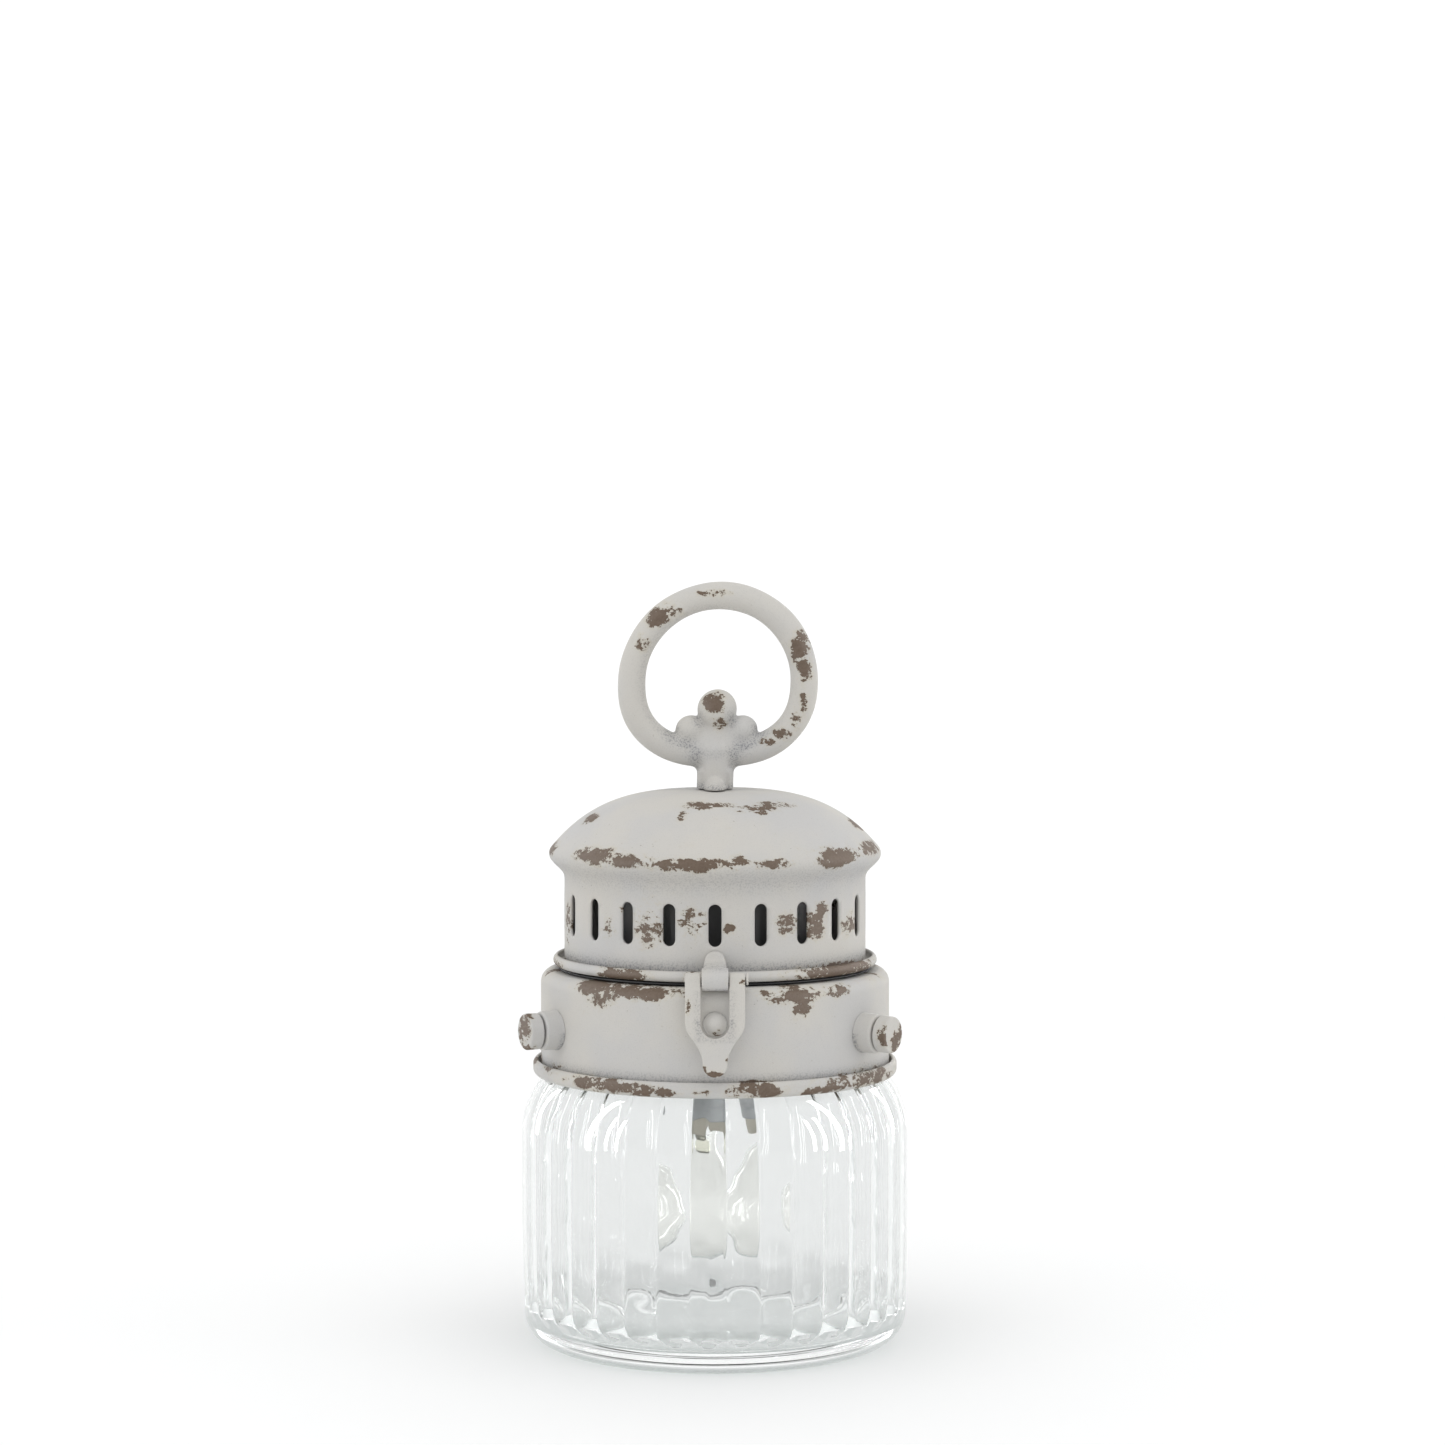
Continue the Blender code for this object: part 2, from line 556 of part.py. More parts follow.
def ring_spine():
    """Centre line of the ring in the XZ plane, a half circle above a squarer half below."""
    spine = []
    for step in range(RING_FACETS):
        side = math.sin(math.tau * step / RING_FACETS)
        rise = math.cos(math.tau * step / RING_FACETS)
        if step in (RING_FACETS // 4, 3 * RING_FACETS // 4):
            rise = 0.0
        if rise >= 0.0:
            spine.append(Vector((RING_RADIUS * side, 0.0, RING_CENTRE_HEIGHT + RING_RADIUS * rise)))
        else:
            power = 2.0 / RING_LOWER_POWER
            x = RING_RADIUS * math.copysign(abs(side) ** power, side) if abs(side) > 1e-9 else 0.0
            spine.append(Vector((x, 0.0, RING_CENTRE_HEIGHT - RING_LOWER_DROP * abs(rise) ** power)))
    return spine


def ring_tube(material):
    shape = bmesh.new()
    spine = ring_spine()
    loops = []
    for step, point in enumerate(spine):
        along = (spine[(step + 1) % RING_FACETS] - spine[step - 1]).normalized()
        outward = Vector((-along.z, 0.0, along.x))
        loop = []
        for face in range(TUBE_FACETS):
            angle = math.tau * (face + 0.5) / TUBE_FACETS
            offset = outward * math.cos(angle) + Vector((0.0, math.sin(angle), 0.0))
            loop.append(shape.verts.new(point + offset * RING_TUBE_RADIUS))
        loops.append(loop)
    for step in range(RING_FACETS):
        near = loops[step - 1]
        far = loops[step]
        for face in range(TUBE_FACETS):
            shape.faces.new((near[face - 1], near[face], far[face], far[face - 1]))
    return finish("ring_handle", shape, material)


def make_ring(paint):
    ring = ring_tube(paint)
    top = RING_BOTTOM + 2.4 * MM
    bottom = HANDLE_BASE - 1.0 * MM
    side = STEM_WIDTH / 2.0 - STEM_SIDE_RADIUS
    for name, x in (("left", -side), ("right", side)):
        join(ring, rod(f"stem_{name}_tool", STEM_SIDE_RADIUS, (x, 0.0, bottom), (x, 0.0, top), 14, paint))
    for name, y in (("front", -STEM_FRONT_OFFSET), ("rear", STEM_FRONT_OFFSET)):
        join(ring, rod(f"stem_{name}_tool", STEM_FRONT_RADIUS, (0.0, y, bottom), (0.0, y, top), 14, paint))
    half = STEM_WIDTH / 2.0
    flare = [(half - 1.0 * MM, RING_BOTTOM - 2.2 * STEM_FLARE)]
    flare += [(half + 0.25 * STEM_FLARE, RING_BOTTOM - 0.3 * MM)]
    flare += [(half + STEM_FLARE, RING_BOTTOM + 0.8 * MM), (0.5 * half, RING_BOTTOM + 3.0 * MM)]
    flare += [(-x, z) for x, z in reversed(flare)]
    join(ring, through("stem_flare_tool", flare, -0.6 * RING_TUBE_RADIUS, 0.62 * RING_TUBE_RADIUS, paint))
    depth = 0.55 * TOE_REACH
    for name, sign in (("front", -1.0), ("rear", 1.0)):
        centre = (0.0, sign * (TOE_REACH - depth), HANDLE_BASE - 0.05 * MM)
        join(ring, ball(f"toe_{name}_tool", centre, (TOE_WIDTH / 2.0, depth, TOE_HEIGHT), paint))
    drop = (0.0, 0.0, RING_CENTRE_HEIGHT - DROP_DEPTH)
    join(ring, ball("drop_tool", drop, (DROP_RADIUS,) * 3, paint))
    web = (0.0, 0.0, RING_BOTTOM + 2.0 * RING_TUBE_RADIUS + 2.2 * MM)
    join(ring,
         ball("drop_web_tool", web, (LOBE_OFFSET, 0.75 * RING_TUBE_RADIUS, 0.75 * DROP_RADIUS), paint))
    for name, sign in (("left", -1.0), ("right", 1.0)):
        centre = (sign * LOBE_OFFSET, 0.0, RING_CENTRE_HEIGHT - LOBE_DEPTH)
        join(ring, ball(f"lobe_{name}_tool", centre, (LOBE_RADIUS,) * 3, paint))
    below = block("handle_base_tool", (0.0, 0.0, HANDLE_BASE - 5.0 * MM), (40.0 * MM, 40.0 * MM, 10.0 * MM),
                  paint)
    stud = rod("handle_stud_tool", STUD_RADIUS, (0.0, 0.0, HANDLE_BASE - STUD_LENGTH),
               (0.0, 0.0, HANDLE_BASE + 1.0 * MM), 12, paint)
    cut(ring, below)
    return join(ring, stud)


def make_handle_fixing(steel):
    """Washer and hexagon nut on the handle's stud, under the crown of the lid."""
    hole = STUD_RADIUS + BORE_GAP
    washer_top = DOME_TOP - LID_SHEET - SEAT_GAP
    washer_bottom = washer_top - WASHER_HEIGHT
    outline = [(hole, washer_top), (WASHER_RADIUS, washer_top)]
    outline += [(WASHER_RADIUS, washer_bottom), (hole, washer_bottom)]
    washer = lathe("handle_washer", outline, PART_FACETS, steel)
    nut_top = washer_bottom - SEAT_GAP
    nut = rod("handle_nut", NUT_RADIUS, (0.0, 0.0, nut_top - NUT_HEIGHT), (0.0, 0.0, nut_top), 6, steel)
    bore = rod("handle_nut_bore_tool", hole, (0.0, 0.0, nut_top - 8.0 * MM), (0.0, 0.0, nut_top + 4.0 * MM),
               12, steel)
    return washer, cut(nut, bore)


# Latch: lug on the lid, pin, forked hasp, and the ball stud on the collar

def make_lug(paint):
    width = HASP_SLOT_WIDTH - 2.0 * SIDE_GAP
    out = LATCH_PIN_OUT
    up = LATCH_PIN_HEIGHT
    wall = LID_WALL_RADIUS
    under = BEAD_TOP + SEAT_GAP + 0.1 * MM
    lug = rod("latch_lug", LUG_KNUCKLE_RADIUS, (-width / 2.0, -out, up), (width / 2.0, -out, up), 20, paint)
    side = [(1.0 * MM - wall, under), (-BEAD_RADIUS - 0.6 * MM, under), (-out, up)]
    side += [(-out - 0.6 * MM, up + LUG_KNUCKLE_RADIUS - 0.15 * MM)]
    side += [(2.4 * MM - out, up + LUG_KNUCKLE_RADIUS - 0.1 * MM)]
    side += [(-wall - 2.2 * LUG_STRAP_THICKNESS, up + LUG_KNUCKLE_RADIUS + 1.0 * MM)]
    side += [(-wall - LUG_STRAP_THICKNESS, LUG_STRAP_TOP - 1.6 * MM)]
    side += [(-wall - 0.7 * LUG_STRAP_THICKNESS, LUG_STRAP_TOP), (1.0 * MM - wall, LUG_STRAP_TOP)]
    half = LUG_STRAP_WIDTH / 2.0
    strap = across("latch_strap_tool", side, -half, half, paint)
    crown = [(half + 0.1 * MM, up - 9.0 * MM)] + arc((0.0, LUG_STRAP_TOP - half), half, 0.0, 180.0, 6)
    crown += [(-half - 0.1 * MM, up - 9.0 * MM)]
    window = through("latch_crown_tool", crown, -out - 10.0 * MM, 0.0, paint)
    saddle = rod("latch_saddle_tool", wall + SEAT_GAP, (0.0, 0.0, up - 10.0 * MM),
                 (0.0, 0.0, up + 15.0 * MM),
                 2 * LID_FACETS, paint)
    bore = rod("latch_lug_bore_tool", LATCH_PIN_RADIUS + BORE_GAP, (-width, -out, up), (width, -out, up),
               14, paint)
    join(lug, shape_with(strap, window, "INTERSECT"))
    return cut(lug, saddle, bore)


def make_latch_pin(paint):
    """Pin through the lug and both arms of the hasp, with a rivet head on the right end."""
    reach = HASP_WIDTH / 2.0
    head_start = reach + SIDE_GAP
    head_end = head_start + LATCH_HEAD_LENGTH
    out = -LATCH_PIN_OUT
    up = LATCH_PIN_HEIGHT
    pin = rod("latch_pin", LATCH_PIN_RADIUS, (-reach - 0.2 * MM, out, up), (head_end - 0.2 * MM, out, up),
              14, paint)
    head = rod("latch_head_tool", LATCH_HEAD_RADIUS, (head_start, out, up), (head_end, out, up), 16, paint)
    return join(pin, head)


def hasp_outline():
    """Front outline of the hasp hanging from the pin: parallel sides, shoulders and a tongue."""
    half = HASP_WIDTH / 2.0
    tip = HASP_LENGTH - HASP_TIP_RADIUS
    drop = tip - HASP_SHOULDER
    right = [(half, 0.0)]
    right += sweep((half, -HASP_SHOULDER), (half, -HASP_SHOULDER - 0.36 * drop),
                   (HASP_TIP_RADIUS, -tip + 0.48 * drop), (HASP_TIP_RADIUS, -tip), 8)
    left = [(-x, z) for x, z in reversed(right)]
    return right + arc((0.0, -tip), HASP_TIP_RADIUS, 0.0, -180.0, 8)[1:-1] + left


def hasp_tilt():
    """Outward tilt at which the hasp's back just clears the front of the ball stud."""
    off = LATCH_PIN_OUT - COLLAR_RADIUS - CATCH_STANDOFF
    need = CATCH_RADIUS + HASP_CLEARANCE - HASP_BACK
    reach = math.hypot(CATCH_DEPTH, off)
    return math.asin(need / reach) - math.atan2(off, CATCH_DEPTH)


def make_hasp(paint):
    """Forked plate with two eyes, drawn hanging straight down and placed unhooked, tilted out."""
    reach = HASP_WIDTH / 2.0
    half = HASP_SLOT_WIDTH / 2.0
    hasp = rod("latch_hasp", HASP_EYE_RADIUS, (-reach, 0.0, 0.0), (reach, 0.0, 0.0), 18, paint)
    leaf = through("hasp_leaf_tool", hasp_outline(), -HASP_EYE_RADIUS + 0.01 * MM, -HASP_BACK, paint)
    opening = [(half, 6.0 * MM)] + arc((0.0, -CATCH_DEPTH), half, 0.0, -180.0, 8) + [(-half, 6.0 * MM)]
    slot = through("hasp_slot_tool", opening, -6.0 * MM, 6.0 * MM, paint)
    bore = rod("hasp_bore_tool", LATCH_PIN_RADIUS + BORE_GAP, (-2.0 * reach, 0.0, 0.0),
               (2.0 * reach, 0.0, 0.0),
               14, paint)
    join(hasp, leaf)
    cut(hasp, slot, bore)
    tilt = Matrix.Rotation(-hasp_tilt(), 4, "X")
    place = Matrix.Translation((0.0, -LATCH_PIN_OUT, LATCH_PIN_HEIGHT)) @ tilt
    for item in (hasp, leaf, slot, bore):
        item.matrix_world = place
    return hasp


def make_catch(paint):
    """Round-headed stud on the collar wall that the hasp's slot drops over."""
    back = COLLAR_FLAT + SEAT_GAP - COLLAR_RADIUS
    start = math.degrees(math.asin((back - CATCH_STANDOFF) / CATCH_RADIUS))
    outline = [(0.0, back)] + arc((0.0, CATCH_STANDOFF), CATCH_RADIUS, start, 90.0, 5)[:-1]
    outline += [(0.0, CATCH_STANDOFF + CATCH_RADIUS)]
    stud = lathe("latch_stud", outline, PART_FACETS, paint)
    stud.matrix_world = (Matrix.Translation((0.0, -COLLAR_RADIUS, CATCH_HEIGHT))
                         @ Matrix.Rotation(math.pi / 2.0, 4, "X"))
    return stud


# Hinge: a leaf on the collar with two knuckles, a leaf on the lid with one, and the pin

def make_hinge(paint, steel):
    out = HINGE_PIN_OUT
    up = HINGE_PIN_HEIGHT
    inner = HINGE_LID_KNUCKLE / 2.0
    arm = inner + SIDE_GAP
    outer = arm + HINGE_COLLAR_KNUCKLE
    face = out - HINGE_KNUCKLE_RADIUS
    bore = HINGE_PIN_RADIUS + BORE_GAP

    side = [(COLLAR_RADIUS - 2.0 * MM, HINGE_LEAF_BOTTOM), (face + HINGE_LEAF_SHEET, HINGE_LEAF_BOTTOM)]
    side += [(face + HINGE_LEAF_SHEET, up), (face + 0.05 * MM, up), (face + 0.05 * MM, HINGE_LEAF_STEP)]
    side += [(COLLAR_RADIUS - 2.0 * MM, HINGE_LEAF_STEP)]
    collar_leaf = across("hinge_collar_leaf", side, 0.1 * MM - outer, outer - 0.1 * MM, paint)
    for name, sign in (("left", -1.0), ("right", 1.0)):
        barrel = rod(f"collar_knuckle_{name}_tool", HINGE_KNUCKLE_RADIUS,
                     (sign * (arm - 1.0 * MM), out, up),
                     (sign * outer, out, up), 18, paint)
        join(collar_leaf, barrel)
    notch_floor = up - HINGE_KNUCKLE_RADIUS - 0.7 * MM
    notch = block("hinge_notch_tool", (0.0, out, notch_floor + 6.0 * MM), (2.0 * arm, 12.0 * MM, 12.0 * MM),
                  paint)
    saddle = rod("hinge_collar_saddle_tool", COLLAR_RADIUS + SEAT_GAP, (0.0, 0.0, up - 25.0 * MM),
                 (0.0, 0.0, up + 10.0 * MM), 2 * COLLAR_FACETS, paint)
    hole = rod("hinge_collar_bore_tool", bore, (-2.0 * outer, out, up), (2.0 * outer, out, up), 14, paint)
    cut(collar_leaf, saddle, notch, hole)

    wall = LID_WALL_RADIUS
    top = up + HINGE_KNUCKLE_RADIUS
    under = BEAD_TOP + SEAT_GAP
    strap = [(wall - 2.0 * MM, under), (out - 0.5 * MM, under), (out - 0.5 * MM, top - 0.05 * MM)]
    strap += [(wall - 2.0 * MM, top - 0.05 * MM)]
    lid_leaf = across("hinge_lid_leaf", strap, 0.1 * MM - inner, inner - 0.1 * MM, paint)
    tab = [(wall - 2.0 * MM, top - 0.4 * MM), (wall + SEAT_GAP + HINGE_TAB_SHEET, top - 0.4 * MM)]
    tab += [(wall + SEAT_GAP + HINGE_TAB_SHEET, HINGE_TAB_TOP - 0.4 * MM)]
    tab += [(wall + SEAT_GAP + HINGE_TAB_SHEET - 0.4 * MM, HINGE_TAB_TOP), (wall - 2.0 * MM, HINGE_TAB_TOP)]
    join(lid_leaf, across("hinge_tab_tool", tab, -outer, outer, paint))
    join(lid_leaf,
         rod("lid_knuckle_tool", HINGE_KNUCKLE_RADIUS, (-inner, out, up), (inner, out, up), 18, paint))
    lid_saddle = rod("hinge_lid_saddle_tool", wall + SEAT_GAP, (0.0, 0.0, up - 15.0 * MM),
                     (0.0, 0.0, up + 20.0 * MM),
                     2 * LID_FACETS, paint)
    lid_hole = rod("hinge_lid_bore_tool", bore, (-2.0 * outer, out, up), (2.0 * outer, out, up), 14, paint)
    cut(lid_leaf, lid_saddle, lid_hole)
    reach = outer + 0.8 * MM
    pin = rod("hinge_pin", HINGE_PIN_RADIUS, (-reach, out, up), (reach, out, up), 14, steel)
    return collar_leaf, lid_leaf, pin


# Lamp plate across the collar, riveted to its flange

def make_plate(tin):
    hole = NIPPLE_RADIUS + BORE_GAP
    outline = [(hole, PLATE_BOTTOM), (PLATE_RADIUS, PLATE_BOTTOM), (PLATE_RADIUS, PLATE_TOP),
               (hole, PLATE_TOP)]
    disc = lathe("lamp_plate", outline, COLLAR_FACETS, tin, 180.0 / COLLAR_FACETS)
    reach = Vector((0.0, 0.0, 4.0 * MM))
    for index in range(RIVETS):
        place = rivet_place(index)
        cut(disc, rod(f"plate_rivet_hole_{index + 1}_tool", RIVET_RADIUS + BORE_GAP, place - reach,
                      place + reach, 12, tin))
    for side, sign in (("left", -1.0), ("right", 1.0)):
        place = Vector((sign * BOX_SCREW_OFFSET, 0.0, PLATE_BOTTOM))
        cut(disc, rod(f"plate_screw_hole_{side}_tool", BOX_SCREW_RADIUS + BORE_GAP, place - reach,
                      place + reach, 12, tin))
    return disc


def make_rivets(tin):
    """Rivets through the plate and the collar's flange, with a low head on both sides."""
    under = -SEAT_GAP - COLLAR_SHEET - SEAT_GAP
    over = PLATE_SHEET + SEAT_GAP
    rim = 0.4 * RIVET_HEAD_HEIGHT
    flat = 0.6 * RIVET_HEAD_RADIUS
    outline = [(0.0, under - RIVET_HEAD_HEIGHT), (flat, under - RIVET_HEAD_HEIGHT)]
    outline += [(RIVET_HEAD_RADIUS, under - rim), (RIVET_HEAD_RADIUS, under), (RIVET_RADIUS, under)]
    outline += [(RIVET_RADIUS, over), (RIVET_HEAD_RADIUS, over), (RIVET_HEAD_RADIUS, over + rim)]
    outline += [(flat, over + RIVET_HEAD_HEIGHT), (0.0, over + RIVET_HEAD_HEIGHT)]
    for index in range(RIVETS):
        rivet = lathe(f"plate_rivet_{index + 1}", outline, 8, tin)
        rivet.location = rivet_place(index)


# Lampholder: sleeve with flange and nipple under the plate, its nut above, and the insert

def make_lampholder(steel, ivory):
    flange_top = PLATE_BOTTOM - SEAT_GAP
    flange_bottom = flange_top - 1.0 * MM
    inner = SLEEVE_RADIUS - SLEEVE_WALL
    outline = [(NIPPLE_BORE, NIPPLE_TOP), (NIPPLE_RADIUS - 0.4 * MM, NIPPLE_TOP)]
    outline += [(NIPPLE_RADIUS, NIPPLE_TOP - 0.4 * MM), (NIPPLE_RADIUS, flange_top)]
    outline += [(SLEEVE_FLANGE_RADIUS, flange_top), (SLEEVE_FLANGE_RADIUS, flange_bottom)]
    outline += [(SLEEVE_RADIUS + 1.0 * MM, flange_bottom), (SLEEVE_RADIUS, flange_bottom - 1.0 * MM)]
    outline += [(SLEEVE_RADIUS, SLEEVE_BOTTOM), (inner, SLEEVE_BOTTOM)]
    outline += [(inner, flange_bottom - 2.0 * MM), (NIPPLE_BORE, flange_bottom - 2.0 * MM)]
    lathe("lampholder_sleeve", outline, PART_FACETS, steel)
    nut_bottom = PLATE_TOP + SEAT_GAP
    nut = rod("lampholder_nut", LAMP_NUT_RADIUS, (0.0, 0.0, nut_bottom),
              (0.0, 0.0, nut_bottom + LAMP_NUT_HEIGHT),
              6, steel)
    cut(nut, rod("lampholder_nut_bore_tool", NIPPLE_RADIUS + BORE_GAP, (0.0, 0.0, nut_bottom - 3.0 * MM),
                 (0.0, 0.0, nut_bottom + 6.0 * MM), PART_FACETS, steel))
    outer = inner - BORE_GAP
    hollow = outer - INSERT_WALL
    top = INSERT_BOTTOM + INSERT_LENGTH
    lathe("lampholder_insert", [(hollow, INSERT_BOTTOM), (outer - 0.3 * MM, INSERT_BOTTOM),
                                (outer, INSERT_BOTTOM + 0.4 * MM), (outer, top), (hollow, top)],
          PART_FACETS, ivory)
    return hollow


# Bulb: metal cap in the insert, clear envelope, and the LED on its stem

def make_bulb(hollow, brass, glass, clear):
    cap_radius = hollow - BORE_GAP
    cap_inner = cap_radius - BULB_CAP_WALL
    shoulder = BULB_CAP_TOP - 3.0 * MM
    cap = [(0.0, BULB_CAP_TOP), (2.0 * MM, BULB_CAP_TOP), (2.4 * MM, BULB_CAP_TOP - 1.0 * MM)]
    cap += [(cap_radius, shoulder), (cap_radius, INSERT_BOTTOM + 0.8 * MM)]
    cap += [(cap_inner, INSERT_BOTTOM + 0.8 * MM), (cap_inner, shoulder - 0.8 * MM),
            (0.0, shoulder - 0.8 * MM)]
    lathe("bulb_cap", cap, PART_FACETS, brass)

    neck = cap_inner - BORE_GAP
    rise = INSERT_BOTTOM - BULB_WIDEST
    lower = sweep((BULB_RADIUS, BULB_WIDEST),
                  (BULB_RADIUS, BULB_WIDEST - 0.55 * (BULB_WIDEST - BULB_BOTTOM)),
                  (0.56 * BULB_RADIUS, BULB_BOTTOM), (0.0, BULB_BOTTOM), 5)
    upper = sweep((neck, INSERT_BOTTOM), (neck, INSERT_BOTTOM - 0.42 * rise),
                  (BULB_RADIUS, BULB_WIDEST + 0.44 * rise), (BULB_RADIUS, BULB_WIDEST), 6)
    outline = sheet([(neck, BULB_NECK_TOP)] + upper[:-1] + lower, BULB_WALL)
    outline = [(max(radius, 0.0), height) for radius, height in outline]
    lathe("bulb_glass", outline, 20, glass)

    stem = neck - BULB_WALL - BORE_GAP
    top = BULB_NECK_TOP - 1.5 * MM
    led = [(0.0, top), (stem, top), (stem, top - 6.0 * MM), (LED_RADIUS + 0.4 * MM, top - 7.4 * MM)]
    led += [(LED_RADIUS, top - 7.6 * MM)] + arc((0.0, LED_TIP + LED_RADIUS), LED_RADIUS, 0.0, -90.0, 4)[:-1]
    lathe("led_stem", led + [(0.0, LED_TIP)], 12, clear)


# Battery box: cells above a deck, room for the board below, a cover and a slide switch

def make_box(plastic):
    inner = BOX_RADIUS - BOX_WALL
    outline = [(0.0, DECK_BOTTOM), (inner, DECK_BOTTOM), (inner, BOX_BOTTOM), (BOX_RADIUS, BOX_BOTTOM)]
    outline += [(BOX_RADIUS, BOX_TOP), (inner, BOX_TOP), (inner, DECK_TOP), (0.0, DECK_TOP)]
    box = lathe("battery_box", outline, BOX_FACETS, plastic, 180.0 / BOX_FACETS)
    bore = BOX_SCREW_RADIUS + BORE_GAP
    for side, sign in (("left", -1.0), ("right", 1.0)):
        x = sign * BOX_SCREW_OFFSET
        join(box, rod(f"box_boss_{side}_tool", BOX_BOSS_RADIUS, (x, 0.0, BOX_BOTTOM),
                      (x, 0.0, DECK_TOP - 0.5 * MM), 14, plastic))
        cut(box, rod(f"box_bore_{side}_tool", bore, (x, 0.0, BOX_BOTTOM - 2.0 * MM),
                     (x, 0.0, BOX_BOTTOM + BOX_SCREW_LENGTH), 12, plastic))
    y = BOX_SCREW_OFFSET
    join(box,
         rod("cover_boss_tool", BOX_BOSS_RADIUS, (0.0, y, DECK_TOP - 0.5 * MM), (0.0, y, BOX_TOP), 14,
             plastic))
    return cut(box,
               rod("cover_bore_tool", bore, (0.0, y, BOX_TOP - BOX_SCREW_LENGTH),
                   (0.0, y, BOX_TOP + 3.0 * MM),
                        12, plastic))


def make_box_screw(name, seat, x, y, sign, steel):
    """Round-headed screw; the shank runs up or down from the seat of its head."""
    outline = [(0.0, BOX_SCREW_LENGTH), (0.5 * BOX_SCREW_RADIUS, BOX_SCREW_LENGTH)]
    outline += [(BOX_SCREW_RADIUS, BOX_SCREW_LENGTH - 1.2 * MM), (BOX_SCREW_RADIUS, 0.0),
                (BOX_SCREW_HEAD, 0.0)]
    outline += [(BOX_SCREW_HEAD, -0.5 * BOX_SCREW_HEAD_HEIGHT),
                (0.7 * BOX_SCREW_HEAD, -BOX_SCREW_HEAD_HEIGHT)]
    outline += [(0.0, -BOX_SCREW_HEAD_HEIGHT)]
    screw = lathe(name, [(radius, sign * height) for radius, height in outline], 8, steel)
    screw.location = (x, y, seat)


def make_cells(jacket):
    """Round cells side by side, lying along X with the nub at one end in turn."""
    pitch = 2.0 * CELL_RADIUS + SEAT_GAP
    half = CELL_LENGTH / 2.0
    outline = [(0.0, -half), (CELL_RADIUS - 0.4 * MM, -half), (CELL_RADIUS, 0.5 * MM - half)]
    outline += [(CELL_RADIUS, half - 0.5 * MM), (CELL_RADIUS - 0.4 * MM, half), (CELL_NUB_RADIUS, half)]
    outline += [(CELL_NUB_RADIUS, half + CELL_NUB_LENGTH), (0.0, half + CELL_NUB_LENGTH)]
    for index in range(CELLS):
        cell = lathe(f"battery_cell_{index + 1}", outline, 12, jacket)
        side = 1.0 if index % 2 == 0 else -1.0
        place = (-side * CELL_NUB_LENGTH / 2.0, (index - (CELLS - 1) / 2.0) * pitch,
                 DECK_TOP + SEAT_GAP + CELL_RADIUS)
        cell.matrix_world = Matrix.Translation(place) @ Matrix.Rotation(side * math.pi / 2.0, 4, "Y")


def make_contacts(steel):
    """Folded contact strips that stand on the deck at each end of the cells."""
    reach = (CELL_LENGTH + CELL_NUB_LENGTH) / 2.0 + SEAT_GAP
    width = 2.0 * CELLS * CELL_RADIUS
    bottom = DECK_TOP + SEAT_GAP
    for side, sign in (("left", -1.0), ("right", 1.0)):
        strip = block(f"contact_strip_{side}",
                      (sign * (reach + CONTACT_SHEET / 2.0), 0.0, bottom + CONTACT_HEIGHT / 2.0),
                      (CONTACT_SHEET, width, CONTACT_HEIGHT), steel)
        foot = block(f"contact_foot_{side}_tool",
                     (sign * (reach + 1.1 * MM), 0.0, bottom + 0.55 * CONTACT_SHEET),
                     (1.8 * MM, 0.7 * width, 0.9 * CONTACT_SHEET), steel)
        join(strip, foot)


def make_switch(plastic):
    """Slide switch: the body stands on the deck and the slider's post comes up through the cover."""
    foot_bottom = COVER_BOTTOM - SEAT_GAP - FOOT_HEIGHT
    bottom = DECK_TOP + SEAT_GAP
    top = foot_bottom - SEAT_GAP
    block("switch_body", (0.0, -SWITCH_OFFSET, (top + bottom) / 2.0),
          (SWITCH_LENGTH, SWITCH_WIDTH, top - bottom),
          plastic)
    post_top = COVER_TOP + POST_RISE
    x = -SWITCH_TRAVEL / 2.0
    slider = block("switch_slider", (0.0, 0.0, (post_top - foot_bottom) / 2.0),
                   (POST_LENGTH, POST_WIDTH, post_top - foot_bottom), plastic)
    foot = block("switch_foot_tool", (0.0, 0.0, 0.5 * FOOT_HEIGHT + 0.01 * MM),
                 (FOOT_LENGTH, FOOT_WIDTH, FOOT_HEIGHT),
                 plastic)
    join(slider, foot)
    for item in (slider, foot):
        item.location = (x, -SWITCH_OFFSET, foot_bottom)


def make_cover(plastic):
    edge = 0.6 * MM
    cover = lathe("battery_cover",
                  [(0.0, COVER_BOTTOM), (BOX_RADIUS, COVER_BOTTOM), (BOX_RADIUS, COVER_TOP - edge),
                                    (BOX_RADIUS - edge, COVER_TOP), (0.0, COVER_TOP)], BOX_FACETS, plastic,
                  180.0 / BOX_FACETS)
    middle = (COVER_BOTTOM + COVER_TOP) / 2.0
    size = (POST_LENGTH + SWITCH_TRAVEL + 2.0 * BORE_GAP, POST_WIDTH + 2.0 * BORE_GAP, 8.0 * MM)
    slot = block("switch_slot_tool", (0.0, -SWITCH_OFFSET, middle), size, plastic)
    hole = rod("cover_hole_tool", BOX_SCREW_RADIUS + BORE_GAP,
               (0.0, BOX_SCREW_OFFSET, COVER_BOTTOM - 3.0 * MM),
               (0.0, BOX_SCREW_OFFSET, COVER_TOP + 3.0 * MM), 12, plastic)
    return cut(cover, slot, hole)


